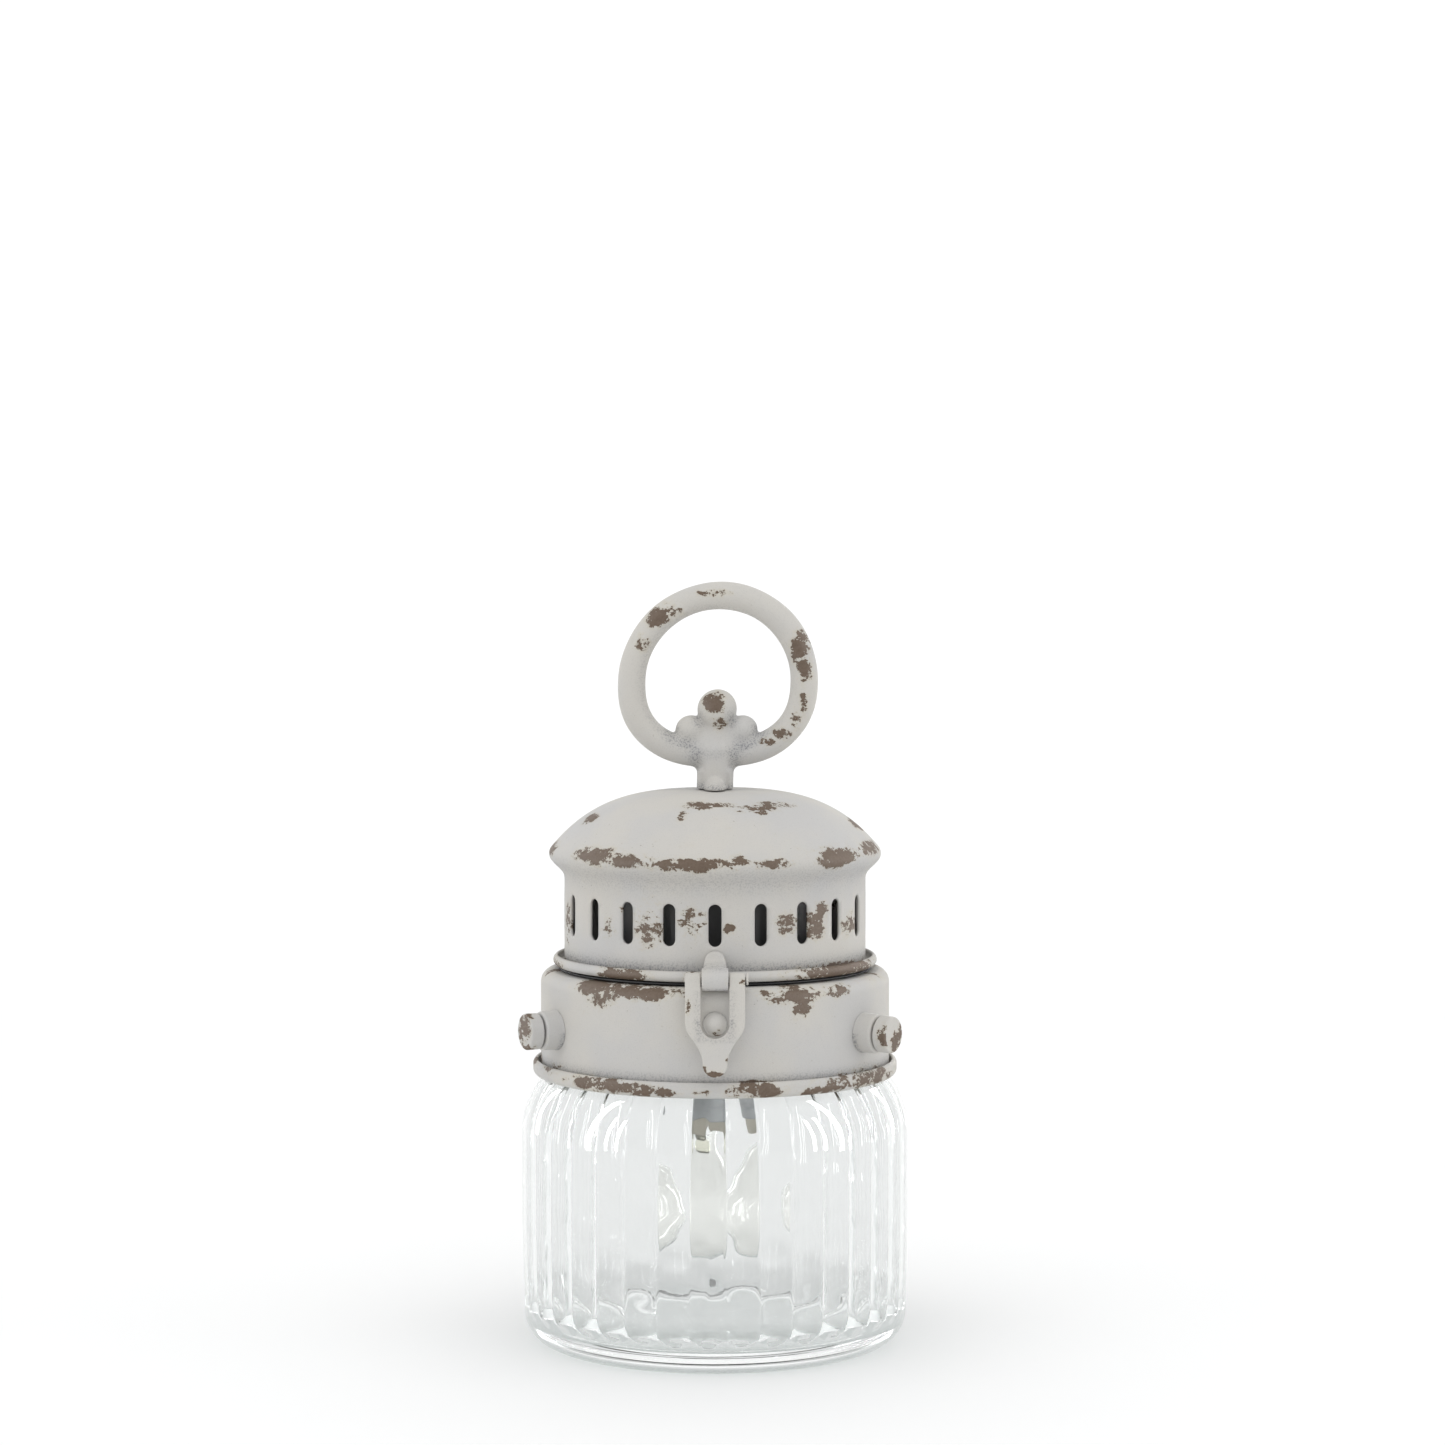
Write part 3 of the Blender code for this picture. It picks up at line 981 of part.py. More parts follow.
def build():
    for item in list(bpy.data.objects):
        bpy.data.objects.remove(item, do_unlink=True)

    jar_glass = look("jar_glass", (0.90, 0.95, 0.93), 0.03, 0.0, 1.0)
    bulb_clear = look("bulb_clear_glass", (0.97, 0.97, 0.95), 0.02, 0.0, 1.0)
    paint = look("chalk_paint", (0.61, 0.59, 0.55), 0.65)
    tin = look("dark_tin", (0.10, 0.10, 0.10), 0.50, 1.0)
    steel = look("zinc_steel", (0.55, 0.56, 0.57), 0.35, 1.0)
    brass = look("nickel_brass", (0.70, 0.62, 0.42), 0.30, 1.0)
    led = look("led_epoxy", (0.93, 0.90, 0.72), 0.15)
    ivory = look("ivory_plastic", (0.78, 0.72, 0.58), 0.45)
    plastic = look("black_plastic", (0.02, 0.02, 0.022), 0.45)
    jacket = look("cell_jacket", (0.16, 0.17, 0.19), 0.35)
    green = look("board_green", (0.03, 0.16, 0.07), 0.40)

    make_jar(jar_glass)
    make_collar(paint)
    make_catch(paint)
    for side, direction in SCREW_DIRECTIONS.items():
        make_boss(side, direction, paint)
        screw = make_thumb_screw(side, direction, paint)
        carry(f"thumb_screw_{side}_axis", screw.matrix_world.translation.copy(), screw)

    make_plate(tin)
    make_rivets(tin)
    hollow = make_lampholder(steel, ivory)
    make_bulb(hollow, brass, bulb_clear, led)

    make_box(plastic)
    make_box_screw("box_screw_left", PLATE_BOTTOM - SEAT_GAP, -BOX_SCREW_OFFSET, 0.0, 1.0, steel)
    make_box_screw("box_screw_right", PLATE_BOTTOM - SEAT_GAP, BOX_SCREW_OFFSET, 0.0, 1.0, steel)
    make_cells(jacket)
    make_contacts(steel)
    block("timer_board", (0.0, 0.0, DECK_BOTTOM - SEAT_GAP - BOARD_THICKNESS / 2.0),
          (BOARD_LENGTH, BOARD_WIDTH, BOARD_THICKNESS), green)
    make_switch(plastic)
    make_cover(plastic)
    make_box_screw("cover_screw", COVER_TOP + SEAT_GAP, 0.0, BOX_SCREW_OFFSET, -1.0, steel)

    collar_leaf, lid_leaf, pin = make_hinge(paint, steel)
    lid_pieces = [make_lid(paint), make_ring(paint), *make_handle_fixing(steel), lid_leaf, make_lug(paint)]
    lid_pieces += [make_latch_pin(paint), make_hasp(paint)]
    carry("lid_axis", (0.0, HINGE_PIN_OUT, HINGE_PIN_HEIGHT), *lid_pieces)


build()
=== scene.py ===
"""Looks of the mason jar lantern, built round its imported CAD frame. Metres, +Z up, front at -Y."""

import math

import bmesh
import bpy
import numpy as np
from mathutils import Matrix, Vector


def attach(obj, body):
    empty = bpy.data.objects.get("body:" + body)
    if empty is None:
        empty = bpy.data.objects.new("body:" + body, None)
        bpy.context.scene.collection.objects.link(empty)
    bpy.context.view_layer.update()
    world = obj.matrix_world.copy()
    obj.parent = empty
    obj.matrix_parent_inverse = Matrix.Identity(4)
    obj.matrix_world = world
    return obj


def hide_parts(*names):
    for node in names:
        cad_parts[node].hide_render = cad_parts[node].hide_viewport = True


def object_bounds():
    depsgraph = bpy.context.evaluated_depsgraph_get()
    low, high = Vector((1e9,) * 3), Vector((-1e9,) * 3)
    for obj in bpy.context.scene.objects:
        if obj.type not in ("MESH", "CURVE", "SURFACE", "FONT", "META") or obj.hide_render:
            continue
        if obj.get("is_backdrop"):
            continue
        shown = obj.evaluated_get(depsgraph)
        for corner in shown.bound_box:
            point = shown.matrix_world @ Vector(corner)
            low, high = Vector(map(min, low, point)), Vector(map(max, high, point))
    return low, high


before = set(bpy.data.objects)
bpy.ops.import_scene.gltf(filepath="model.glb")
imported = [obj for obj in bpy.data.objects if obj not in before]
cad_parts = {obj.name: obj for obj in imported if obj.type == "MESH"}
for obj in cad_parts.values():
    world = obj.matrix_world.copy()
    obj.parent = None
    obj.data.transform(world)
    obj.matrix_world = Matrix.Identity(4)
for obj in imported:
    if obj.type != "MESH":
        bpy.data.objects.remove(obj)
cad_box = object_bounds()

# ---- Stage: a pale sweep of floor and wall, soft boxes and strips of light, and the camera ------
# The floor runs back and curves up into a wall, both one pale matt sheet. Wide boxes light the
# paint, and narrow upright strips that only the glass sees put the long streaks on it.

SWEEP_FRONT = -7.0
SWEEP_BACK = 2.2
SWEEP_CURVE = 1.0
SWEEP_TOP = 4.0
SWEEP_HALF_WIDTH = 9.0


def set_inputs(node, values):
    """Gives a node's inputs, by name or number, a plain value each or a link from another node's output."""
    for key, value in values.items():
        socket = node.inputs[key]
        if isinstance(value, bpy.types.NodeSocket):
            node.id_data.links.new(value, socket)
        else:
            socket.default_value = (*value, 1.0) if socket.type == "RGBA" else value


def new_material(name, values):
    """Material with one Principled shader and the plain values of its inputs."""
    material = bpy.data.materials.new(name)
    material.use_nodes = True
    set_inputs(material.node_tree.nodes["Principled BSDF"], values)
    return material


def add_piece(name, mesh, material):
    """Smooth object at the origin that shows a mesh in one material."""
    mesh.shade_smooth()
    mesh.materials.append(material)
    item = bpy.data.objects.new(name, mesh)
    bpy.context.scene.collection.objects.link(item)
    return item


def new_object(name, points, faces, material):
    """Smooth object from points in metres and faces of corner numbers, in one material."""
    mesh = bpy.data.meshes.new(name)
    mesh.from_pydata(points, [], faces)
    mesh.validate()
    return add_piece(name, mesh, material)


def grid_faces(rows, columns, wrap):
    """Faces of a grid whose points run row by row; wrap joins each row's last point to its first."""
    index = np.arange(rows * columns).reshape(rows, columns)
    right = np.roll(index, -1, axis=1)
    quads = np.stack([index[:-1], right[:-1], right[1:], index[1:]], axis=-1)
    if not wrap:
        quads = quads[:, :-1]
    return quads.reshape(-1, 4)


turn = np.radians(np.linspace(-90.0, 0.0, 25))
sweep_y = np.concatenate([[SWEEP_FRONT], SWEEP_BACK + SWEEP_CURVE * np.cos(turn), [SWEEP_BACK + SWEEP_CURVE]])
sweep_z = np.concatenate([[0.0], SWEEP_CURVE + SWEEP_CURVE * np.sin(turn), [SWEEP_TOP]])
sweep_x = np.array([[-SWEEP_HALF_WIDTH, SWEEP_HALF_WIDTH]])
sweep = np.stack(np.broadcast_arrays(sweep_x, sweep_y[:, None], sweep_z[:, None]), axis=-1)
pale_sweep = new_material("pale_sweep", {
    "Base Color": (0.97, 0.97, 0.965), "Roughness": 0.9, "Specular IOR Level": 0.0})
sweep_faces = grid_faces(len(sweep_y), 2, False)[:, ::-1]
backdrop = new_object("backdrop", sweep.reshape(-1, 3), sweep_faces, pale_sweep)
backdrop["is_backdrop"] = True

world = bpy.data.worlds.new("soft_room")
world.use_nodes = True
bpy.context.scene.world = world
set_inputs(world.node_tree.nodes["Background"], {"Color": (0.985, 0.99, 1.0), "Strength": 0.80})


def soft_box(name, place, aim, size, power, for_paint):
    """Area light at a place, facing another. It either lights the paint or shows in the glass."""
    lamp = bpy.data.lights.new(name, "AREA")
    lamp.shape = "RECTANGLE"
    lamp.size, lamp.size_y = size
    lamp.energy = power
    item = bpy.data.objects.new(name, lamp)
    item.location = place
    across, along, rise = np.subtract(aim, place)
    item.rotation_euler = (math.atan2(math.hypot(across, along), -rise), 0.0, math.atan2(-across, along))
    item.visible_camera = False
    item.visible_diffuse = for_paint
    item.visible_glossy = not for_paint
    item.visible_transmission = not for_paint
    bpy.context.scene.collection.objects.link(item)


soft_box("box_overhead", (0.0, -0.5, 1.7), (0.0, 0.0, 0.1), (1.8, 1.4), 7.7, True)
for label, side in (("left", -1.0), ("right", 1.0)):
    for name, out, back, level, aim_level, size, power in (
            ("box_{}_near", 1.0, -0.60, 0.32, 0.10, (0.045, 0.8), 4.5),
            ("box_{}_far", 1.06, -0.46, 0.32, 0.10, (0.045, 0.8), 4.5),
            ("strip_{}_side", 0.40, -0.10, 0.24, 0.10, (0.03, 0.46), 0.9),
            ("strip_{}_back", 0.34, 0.24, 0.22, 0.06, (0.025, 0.42), 0.7)):
        soft_box(name.format(label), (side * out, back, level), (0.0, 0.0, aim_level), size, power, False)
soft_box("box_side_left", (-1.2, -0.6, 0.5), (0.0, 0.0, 0.12), (0.6, 1.1), 1.25, True)
soft_box("box_side_right", (1.25, -0.2, 0.5), (0.0, 0.0, 0.12), (0.6, 1.1), 1.3, True)
soft_box("box_wall", (0.0, 1.6, 2.2), (0.0, 3.2, 0.6), (3.0, 1.0), 16.0, True)

camera_data = bpy.data.cameras.new("camera")
camera_data.lens = 92.2
camera_data.sensor_width = 36.0
camera_data.shift_x = 0.0052
camera_data.shift_y = -0.0806
camera = bpy.data.objects.new("camera", camera_data)
camera.location = (0.0, -1.147, 0.2515)
camera.rotation_euler = (math.radians(88.8), 0.0, 0.0)
bpy.context.scene.collection.objects.link(camera)
bpy.context.scene.camera = camera
bpy.context.scene.view_settings.view_transform = "Standard"

# ---- Glass jar: pressed soda-lime glass, smooth outside, with upright ribs inside ------------
# The wall is blown against a ribbed plug, so each rib swells inward and ends in a round foot
# over the thick base. A thin green cast shows where the glass is seen edge on.

MM = 0.001
JAR_RADIUS = 60.0
JAR_WALL = 2.4
JAR_FLOOR = 6.7
JAR_PUNT = 1.3
JAR_HEIGHT = 112.3
JAR_LIP = 2.1
SHOULDER = (33.0, 65.0)
SHOULDER_RADIUS = 27.0
RIB_COUNT = 36
RIB_SWELL = 0.95
RIB_TURN = -2.0
RIB_FOOT = 8.6
RIB_ARCH = 4.6
RIB_HEAD = 91.0
RIB_COLUMNS = 16
MIRROR_BOUNCES = 2.5


def arc_points(centre, radius, start, end, count):
    """Points on a circle between two angles in degrees, as rows of radius and height."""
    angle = np.radians(np.linspace(start, end, count))
    return np.stack([centre[0] + radius * np.cos(angle), centre[1] + radius * np.sin(angle)], axis=-1)


def even_path(points, step):
    """Points along a path again, spaced evenly by its length and never further apart than a step."""
    points = np.asarray(points, dtype=np.float64)
    length = np.concatenate([[0.0], np.cumsum(np.hypot(*np.diff(points, axis=0).T))])
    count = max(int(math.ceil(length[-1] / step)), 2)
    at = np.linspace(0.0, length[-1], count + 1)
    return np.stack([np.interp(at, length, points[:, 0]), np.interp(at, length, points[:, 1])], axis=-1)


jar_outer = np.concatenate([
    [(0.0, JAR_PUNT), (40.0, JAR_PUNT), (44.5, 0.9), (46.5, 0.25), (48.0, 0.0)],
    arc_points((50.3, 9.0), 9.0, -90.0, 0.0, 14),
    [(59.75, 25.0), (JAR_RADIUS, 38.0), (JAR_RADIUS, 52.0)],
    arc_points(SHOULDER, SHOULDER_RADIUS, 0.0, 60.0, 16),
    [(45.5, 91.0), (45.5, 101.5), (46.5, 102.6), (49.0, 104.2), (49.5, 106.0), (49.5, JAR_HEIGHT - JAR_LIP)],
    arc_points((47.4, JAR_HEIGHT - JAR_LIP), JAR_LIP, 0.0, 90.0, 7)])
jar_inner = np.concatenate([
    [(45.2, JAR_HEIGHT), (44.2, 111.7), (43.0, 110.3), (42.5, 108.6), (42.5, 90.6)],
    arc_points(SHOULDER, SHOULDER_RADIUS - JAR_WALL, 62.0, 0.0, 16),
    [(JAR_RADIUS - JAR_WALL, 38.0), (57.5, 22.0)],
    arc_points((47.5, 16.8), 10.0, 0.0, -90.0, 16),
    [(20.0, 6.8), (0.0, JAR_FLOOR)]])
outer_path = np.concatenate([even_path(jar_outer[:2], 8.0)[:-1], even_path(jar_outer[1:], 1.9)])
inner_path = np.concatenate([
    even_path(jar_inner[:4], 0.9)[:-1], even_path(jar_inner[3:5], 4.0)[:-1],
    even_path(jar_inner[4:-2], 1.3)[:-1], even_path(jar_inner[-3:], 8.0)])
columns = RIB_COUNT * RIB_COLUMNS
angle = np.linspace(0.0, 2.0 * math.pi, columns, endpoint=False) + math.radians(RIB_TURN)
across = 2.0 * np.abs((np.arange(columns) / RIB_COLUMNS + 0.5) % 1.0 - 0.5)
rib = np.floor(np.arange(columns) / RIB_COLUMNS + 0.5)


def rib_swell(radius, height):
    """Inward swell of the ribs: a parabola between two sharp grooves, faded out to a round foot
    below and over the shoulder above."""
    bulge = 1.0 - across ** 2
    low = np.clip((height - RIB_FOOT - RIB_ARCH * (1.0 - np.sqrt(bulge))) / 0.9, 0.0, 1.0)
    high = np.clip((RIB_HEAD - height) / 9.0, 0.0, 1.0)
    ease = low * low * (3.0 - 2.0 * low) * high * high * (3.0 - 2.0 * high)
    uneven = 1.0 + 0.11 * np.sin(0.31 * height + 1.7 * rib) + 0.06 * np.sin(0.74 * height + 2.9 * rib)
    return RIB_SWELL * bulge * ease * uneven * (radius > 44.0)


rng = np.random.default_rng(7)
wave = sum(rng.uniform(0.02, 0.05) * np.sin(k * angle[None, :] + rng.uniform(0, 6.28)
           + outer_path[:, 1:] * rng.uniform(0.02, 0.09)) for k in (2, 3, 5, 7, 11))
wave -= wave.max()
outer_share = np.clip(outer_path[:, :1] / JAR_RADIUS, 0.0, 1.0) * (outer_path[:, :1] > 1.0)
outer_radius = outer_path[:, :1] + wave * outer_share
inner_radius = inner_path[:, :1] - rib_swell(inner_path[:, :1], inner_path[:, 1:])


def spin(radius, height, turn):
    """Rings of points round Z, at angles from the front, from a column of radii and one of heights."""
    return np.stack(np.broadcast_arrays(radius * np.sin(turn), -radius * np.cos(turn), height), axis=-1)


def turned_solid(name, rings, foot, head, material):
    """Closed surface through rings of points, with a centre point under the first ring and one
    over the last, each joined to its ring by thin triangles."""
    rows, count = rings.shape[:2]
    points = np.concatenate([rings.reshape(-1, 3), [foot], [head]]) * MM
    first = np.arange(count)
    last = first + (rows - 1) * count
    near = np.stack([np.roll(first, -1), first, np.full(count, rows * count)], axis=-1)
    far = np.stack([last, np.roll(last, -1), np.full(count, rows * count + 1)], axis=-1)
    return new_object(name, points, [*grid_faces(rows, count, True), *near, *far], material)


def add_node(tree, kind, values, **settings):
    """Node of a kind with its settings and the values or links of its inputs."""
    node = tree.nodes.new(kind)
    for key, value in settings.items():
        setattr(node, key, value)
    set_inputs(node, values)
    return node


def math_node(tree, operation, *values, clamp=False):
    """Math node whose inputs are sockets or plain numbers; gives its output socket."""
    node = add_node(tree, "ShaderNodeMath", dict(enumerate(values)), operation=operation, use_clamp=clamp)
    return node.outputs["Value"]


def clear_glass(name, colour, roughness, ior):
    """Clear glass. Shadow rays and rays off matt surfaces go straight through, so what is inside keeps
    its light, and so do rays that have bounced about inside the wall, so the ribs' flanks stay pale."""
    material = new_material(name, {
        "Base Color": colour, "Roughness": roughness, "IOR": ior, "Transmission Weight": 1.0})
    tree = material.node_tree
    clear = add_node(tree, "ShaderNodeBsdfTransparent", {"Color": (0.955, 0.966, 0.963)})
    path = add_node(tree, "ShaderNodeLightPath", {}).outputs
    through = math_node(tree, "GREATER_THAN", path["Glossy Depth"], MIRROR_BOUNCES)
    for kind in ("Is Diffuse Ray", "Is Shadow Ray"):
        through = math_node(tree, "MAXIMUM", through, path[kind])
    glass = tree.nodes["Principled BSDF"].outputs["BSDF"]
    mix = add_node(tree, "ShaderNodeMixShader", {0: through, 1: glass, 2: clear.outputs["BSDF"]})
    set_inputs(tree.nodes["Material Output"], {"Surface": mix.outputs["Shader"]})
    return material


jar_glass = clear_glass("jar_glass", (0.892, 0.900, 0.898), 0.0, 1.5)
jar_rings = spin(np.concatenate([outer_radius[1:], inner_radius[:-1]]),
                 np.concatenate([outer_path[1:, 1:], inner_path[:-1, 1:]]), angle)
jar = turned_solid("jar", jar_rings, (0.0, 0.0, JAR_PUNT), (0.0, 0.0, JAR_FLOOR), jar_glass)
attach(jar, "root")
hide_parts("glass_jar")

# ---- Chalk paint: off-white over a brown undercoat, rubbed through where hands and edges meet
# Every painted piece carries two numbers per point: rub, how worn the place is, and painted shade, how
# much it is darkened where shade falls in corners and under parts. The group turns them into crisp chips,
# stains, a fine grain and speckled painted shade.


def mix_colour(tree, factor, first, second, blend="MIX"):
    """Colour mix whose inputs are sockets or plain colours."""
    values = {0: factor, 6: first, 7: second}
    return add_node(tree, "ShaderNodeMix", values, data_type="RGBA", blend_type=blend).outputs[2]


def smooth_step(tree, value, low, high):
    """Map Range from 0 at low to 1 at high with soft ends."""
    values = {"Value": value, "From Min": low, "From Max": high}
    return add_node(tree, "ShaderNodeMapRange", values, interpolation_type="SMOOTHSTEP").outputs["Result"]


def noise(tree, vector, scale, detail, roughness):
    """Noise texture read at a vector; gives its value."""
    values = {"Vector": vector, "Scale": scale, "Detail": detail, "Roughness": roughness}
    return add_node(tree, "ShaderNodeTexNoise", values).outputs["Fac"]


def make_rubbed_paint_group():
    """Group from place, rub and painted shade to paint colour, roughness, height and the chip mask."""
    tree = bpy.data.node_groups.new("rubbed_paint", "ShaderNodeTree")
    for side, sockets in (
            ("INPUT", {"Place": "Vector", "Rub": "Float", "PaintedShade": "Float", "Paint": "Color",
                       "Undercoat": "Color"}),
            ("OUTPUT", {"Color": "Color", "Roughness": "Float", "Height": "Float", "Chip": "Float"})):
        for name, kind in sockets.items():
            tree.interface.new_socket(name, in_out=side, socket_type="NodeSocket" + kind)
    given = add_node(tree, "NodeGroupInput", {}).outputs

    def formula(operation, *values, clamp=False):
        """Math node in this group."""
        return math_node(tree, operation, *values, clamp=clamp)

    def step(value, low, high):
        """Soft step in this group."""
        return smooth_step(tree, value, low, high)

    def stain(factor, under, colour):
        """Colour multiplied by another as far as a factor goes."""
        return mix_colour(tree, factor, under, colour, "MULTIPLY")

    stretch = add_node(tree, "ShaderNodeMapping", {"Vector": given["Place"], "Scale": (1.0, 1.0, 1.5)})
    coarse = noise(tree, stretch.outputs["Vector"], 130.0, 3.0, 0.5)
    ragged = noise(tree, stretch.outputs["Vector"], 430.0, 5.0, 0.62)
    fine = noise(tree, given["Place"], 1300.0, 4.0, 0.7)
    dust = noise(tree, given["Place"], 3000.0, 2.0, 0.6)
    broad = noise(tree, given["Place"], 38.0, 3.0, 0.5)
    speck_noise = noise(tree, given["Place"], 1900.0, 2.0, 0.6)
    swing = formula("MULTIPLY_ADD", coarse, 2.2, -1.12)
    swing = formula("ADD", swing, formula("MULTIPLY_ADD", ragged, 2.7, -1.36))
    swing = formula("ADD", swing, formula("MULTIPLY_ADD", fine, 1.7, -0.85))
    reach = formula("MULTIPLY_ADD", step(given["Rub"], 0.02, 0.40), 0.75, 0.25)
    worn = formula("MULTIPLY_ADD", swing, reach, given["Rub"])
    pepper = formula("MULTIPLY", step(fine, 0.68, 0.70), step(coarse, 0.52, 0.60))
    chip = formula("MAXIMUM", step(worn, 0.50, 0.53), pepper)
    tint = stain(step(broad, 0.35, 0.7), given["Paint"], (0.93, 0.95, 1.0))
    warm = stain(formula("MULTIPLY", step(worn, 0.05, 0.50), 0.6), tint, (0.97, 0.92, 0.80))
    # Painted shade: the shade number, broken into dark specks, turns the paint a cool grey where shade falls in
    # corners and under parts.
    speckle = formula("MULTIPLY_ADD", step(speck_noise, 0.50, 0.60), 0.95, 0.40)
    speckled_shade = formula("MULTIPLY", given["PaintedShade"], speckle, clamp=True)
    shaded = stain(speckled_shade, warm, (0.50, 0.51, 0.545))
    dusty = stain(formula("MULTIPLY", step(dust, 0.5, 0.7), 0.16), shaded, (0.55, 0.55, 0.58))
    brown = stain(step(fine, 0.35, 0.7), given["Undercoat"], (0.80, 0.78, 0.76))
    grain = formula("MULTIPLY_ADD", dust, 0.16, formula("MULTIPLY", fine, 0.22))
    add_node(tree, "NodeGroupOutput", {
        "Color": mix_colour(tree, chip, dusty, brown), "Chip": chip,
        "Roughness": formula("MULTIPLY_ADD", chip, -0.18, 0.78),
        "Height": formula("MULTIPLY_ADD", chip, -0.8, grain)})
    return tree


rubbed_paint_group = make_rubbed_paint_group()
PAINT = (0.572, 0.552, 0.512)
UNDERCOAT = (0.150, 0.108, 0.078)


def bump(tree, height, strength, distance):
    """Surface normal from a height."""
    values = {"Height": height, "Strength": strength, "Distance": distance}
    return add_node(tree, "ShaderNodeBump", values).outputs["Normal"]


def own_place(tree, values):
    """Place on the piece, moved or stretched by the values given to a Mapping node."""
    place = add_node(tree, "ShaderNodeTexCoord", {}).outputs["Object"]
    return add_node(tree, "ShaderNodeMapping", {"Vector": place, **values}).outputs["Vector"]


def rubbed_paint(name, shift):
    """Chalk paint for one piece; shift moves the pattern so that no two pieces wear alike."""
    material = new_material(name, {"Base Color": PAINT, "Roughness": 0.78, "Specular IOR Level": 0.30})
    tree = material.node_tree
    # rub drives the chips; the second attribute is painted shade that darkens corners and undersides.
    rub, painted_shade = (add_node(tree, "ShaderNodeAttribute", {}, attribute_name=key).outputs["Fac"]
                   for key in ("rub", "painted_shade"))
    group = add_node(tree, "ShaderNodeGroup", {}, node_tree=rubbed_paint_group)
    set_inputs(group, {"Place": own_place(tree, {"Location": shift}), "Rub": rub, "PaintedShade": painted_shade,
                       "Paint": PAINT, "Undercoat": UNDERCOAT})
    set_inputs(tree.nodes["Principled BSDF"], {
        "Base Color": group.outputs["Color"], "Roughness": group.outputs["Roughness"],
        "Normal": bump(tree, group.outputs["Height"], 0.8, 0.00016)})
    return material


def set_wear(item, rub, painted_shade):
    """Writes the wear number and the painted-shade number onto the points of a piece."""
    for name, values in (("rub", rub), ("painted_shade", painted_shade)):
        layer = item.data.attributes.new(name, "FLOAT", "POINT")
        layer.data.foreach_set("value", np.clip(values, 0.0, 1.3).astype(np.float32))


def item_points(item):
    """Points of a piece in millimetres."""
    points = np.empty(3 * len(item.data.vertices), dtype=np.float32)
    item.data.vertices.foreach_get("co", points)
    return points.reshape(-1, 3).astype(np.float64) / MM


def worn_spots(points, spots, wraps=True):
    """Rub from a list of worn spots, each fading like a bell from its middle: a place across, a height, a
    half width, a half height and a strength. The place across is an azimuth in degrees from the front on
    a piece that wraps round Z, and millimetres to the right on a flat one."""
    azimuth = np.degrees(np.arctan2(points[:, 0], -points[:, 1]))
    reach = np.radians(1.0) * np.hypot(points[:, 0], points[:, 1])
    total = np.zeros(len(points))
    for middle, level, wide, high, strength in spots:
        away = ((azimuth - middle + 180.0) % 360.0 - 180.0) * reach if wraps else points[:, 0] - middle
        fade = np.exp(-0.5 * ((away / wide) ** 2 + ((points[:, 2] - level) / high) ** 2) ** 1.3)
        total = np.maximum(total, strength * fade)
    return total


def bell(value, middle, spread):
    """Bell curve of height 1 round a middle."""
    return np.exp(-0.5 * ((value - middle) / spread) ** 2)


# ---- Tin collar: spun from one sheet, with a flat top, a soft shoulder and a rolled lower rim
# Three thumb screws hold it on the jar's lip. It is painted all over and rubbed through along the
# top shoulder and the lower rim.

COLLAR_RADIUS = 54.0
COLLAR_TOP = 115.1
COLLAR_BOTTOM = 82.7
COLLAR_SHEET = 1.0
COLLAR_BEND = 3.8
COLLAR_ROLL = 0.7
COLLAR_COLUMNS = 288


def right_of(path):
    """Unit directions square to a path, to its right."""
    along = np.gradient(path, axis=0)
    along /= np.hypot(along[:, 0], along[:, 1])[:, None]
    return np.stack([along[:, 1], -along[:, 0]], axis=-1)


def sheet_outline(face, thickness):
    """Closed outline of a sheet: the face's points, then the same points moved square to the path
    by the thickness, on its right, in reverse, with half-round ends."""
    right = right_of(face)
    along = np.stack([-right[:, 1], right[:, 0]], axis=-1)
    back = face + right * thickness
    turn = np.radians(np.linspace(0.0, 180.0, 7)[1:-1])[:, None]

    def round_end(end, half):
        """Points of the half circle over one end."""
        return (face[end] + back[end]) / 2.0 - half * (right[end] * np.cos(turn) - along[end] * np.sin(turn))

    return np.concatenate([face, round_end(-1, thickness / 2.0), back[::-1], round_end(0, -thickness / 2.0)])


def closed_rings(name, rings, material):
    """Ring-shaped surface through rings of points that close on themselves both ways."""
    rows, count = rings.shape[:2]
    faces = grid_faces(rows + 1, count, True) % (rows * count)
    return new_object(name, rings.reshape(-1, 3) * MM, faces, material)


def full_turn(count):
    """Angles evenly spaced round a full turn."""
    return np.linspace(0.0, 2.0 * math.pi, count, endpoint=False)


def turned_ring(name, outline, count, material):
    """Closed ring of revolution about Z from a closed outline of radius and height, listed with
    the solid on its left."""
    outline = np.asarray(outline, dtype=np.float64)
    return closed_rings(name, spin(outline[:, :1], outline[:, 1:], full_turn(count)), material)


roll_level = COLLAR_BOTTOM + COLLAR_SHEET + COLLAR_ROLL
collar_face = even_path(np.concatenate([
    [(40.0, COLLAR_TOP)],
    arc_points((COLLAR_RADIUS - COLLAR_BEND, COLLAR_TOP - COLLAR_BEND), COLLAR_BEND, 90.0, 0.0, 12),
    arc_points((COLLAR_RADIUS + COLLAR_ROLL, roll_level), COLLAR_ROLL, 180.0, 360.0, 12),
    [(COLLAR_RADIUS + 2.0 * COLLAR_ROLL, 85.6)], arc_points((54.75, 86.0), 0.65, 0.0, 65.0, 6)]), 0.3)
collar = turned_ring("collar_shell", sheet_outline(collar_face, COLLAR_SHEET)[::-1], COLLAR_COLUMNS,
                     rubbed_paint("collar_paint", (0.11, 0.02, 0.05)))
points = item_points(collar)
reach = np.hypot(points[:, 0], points[:, 1])
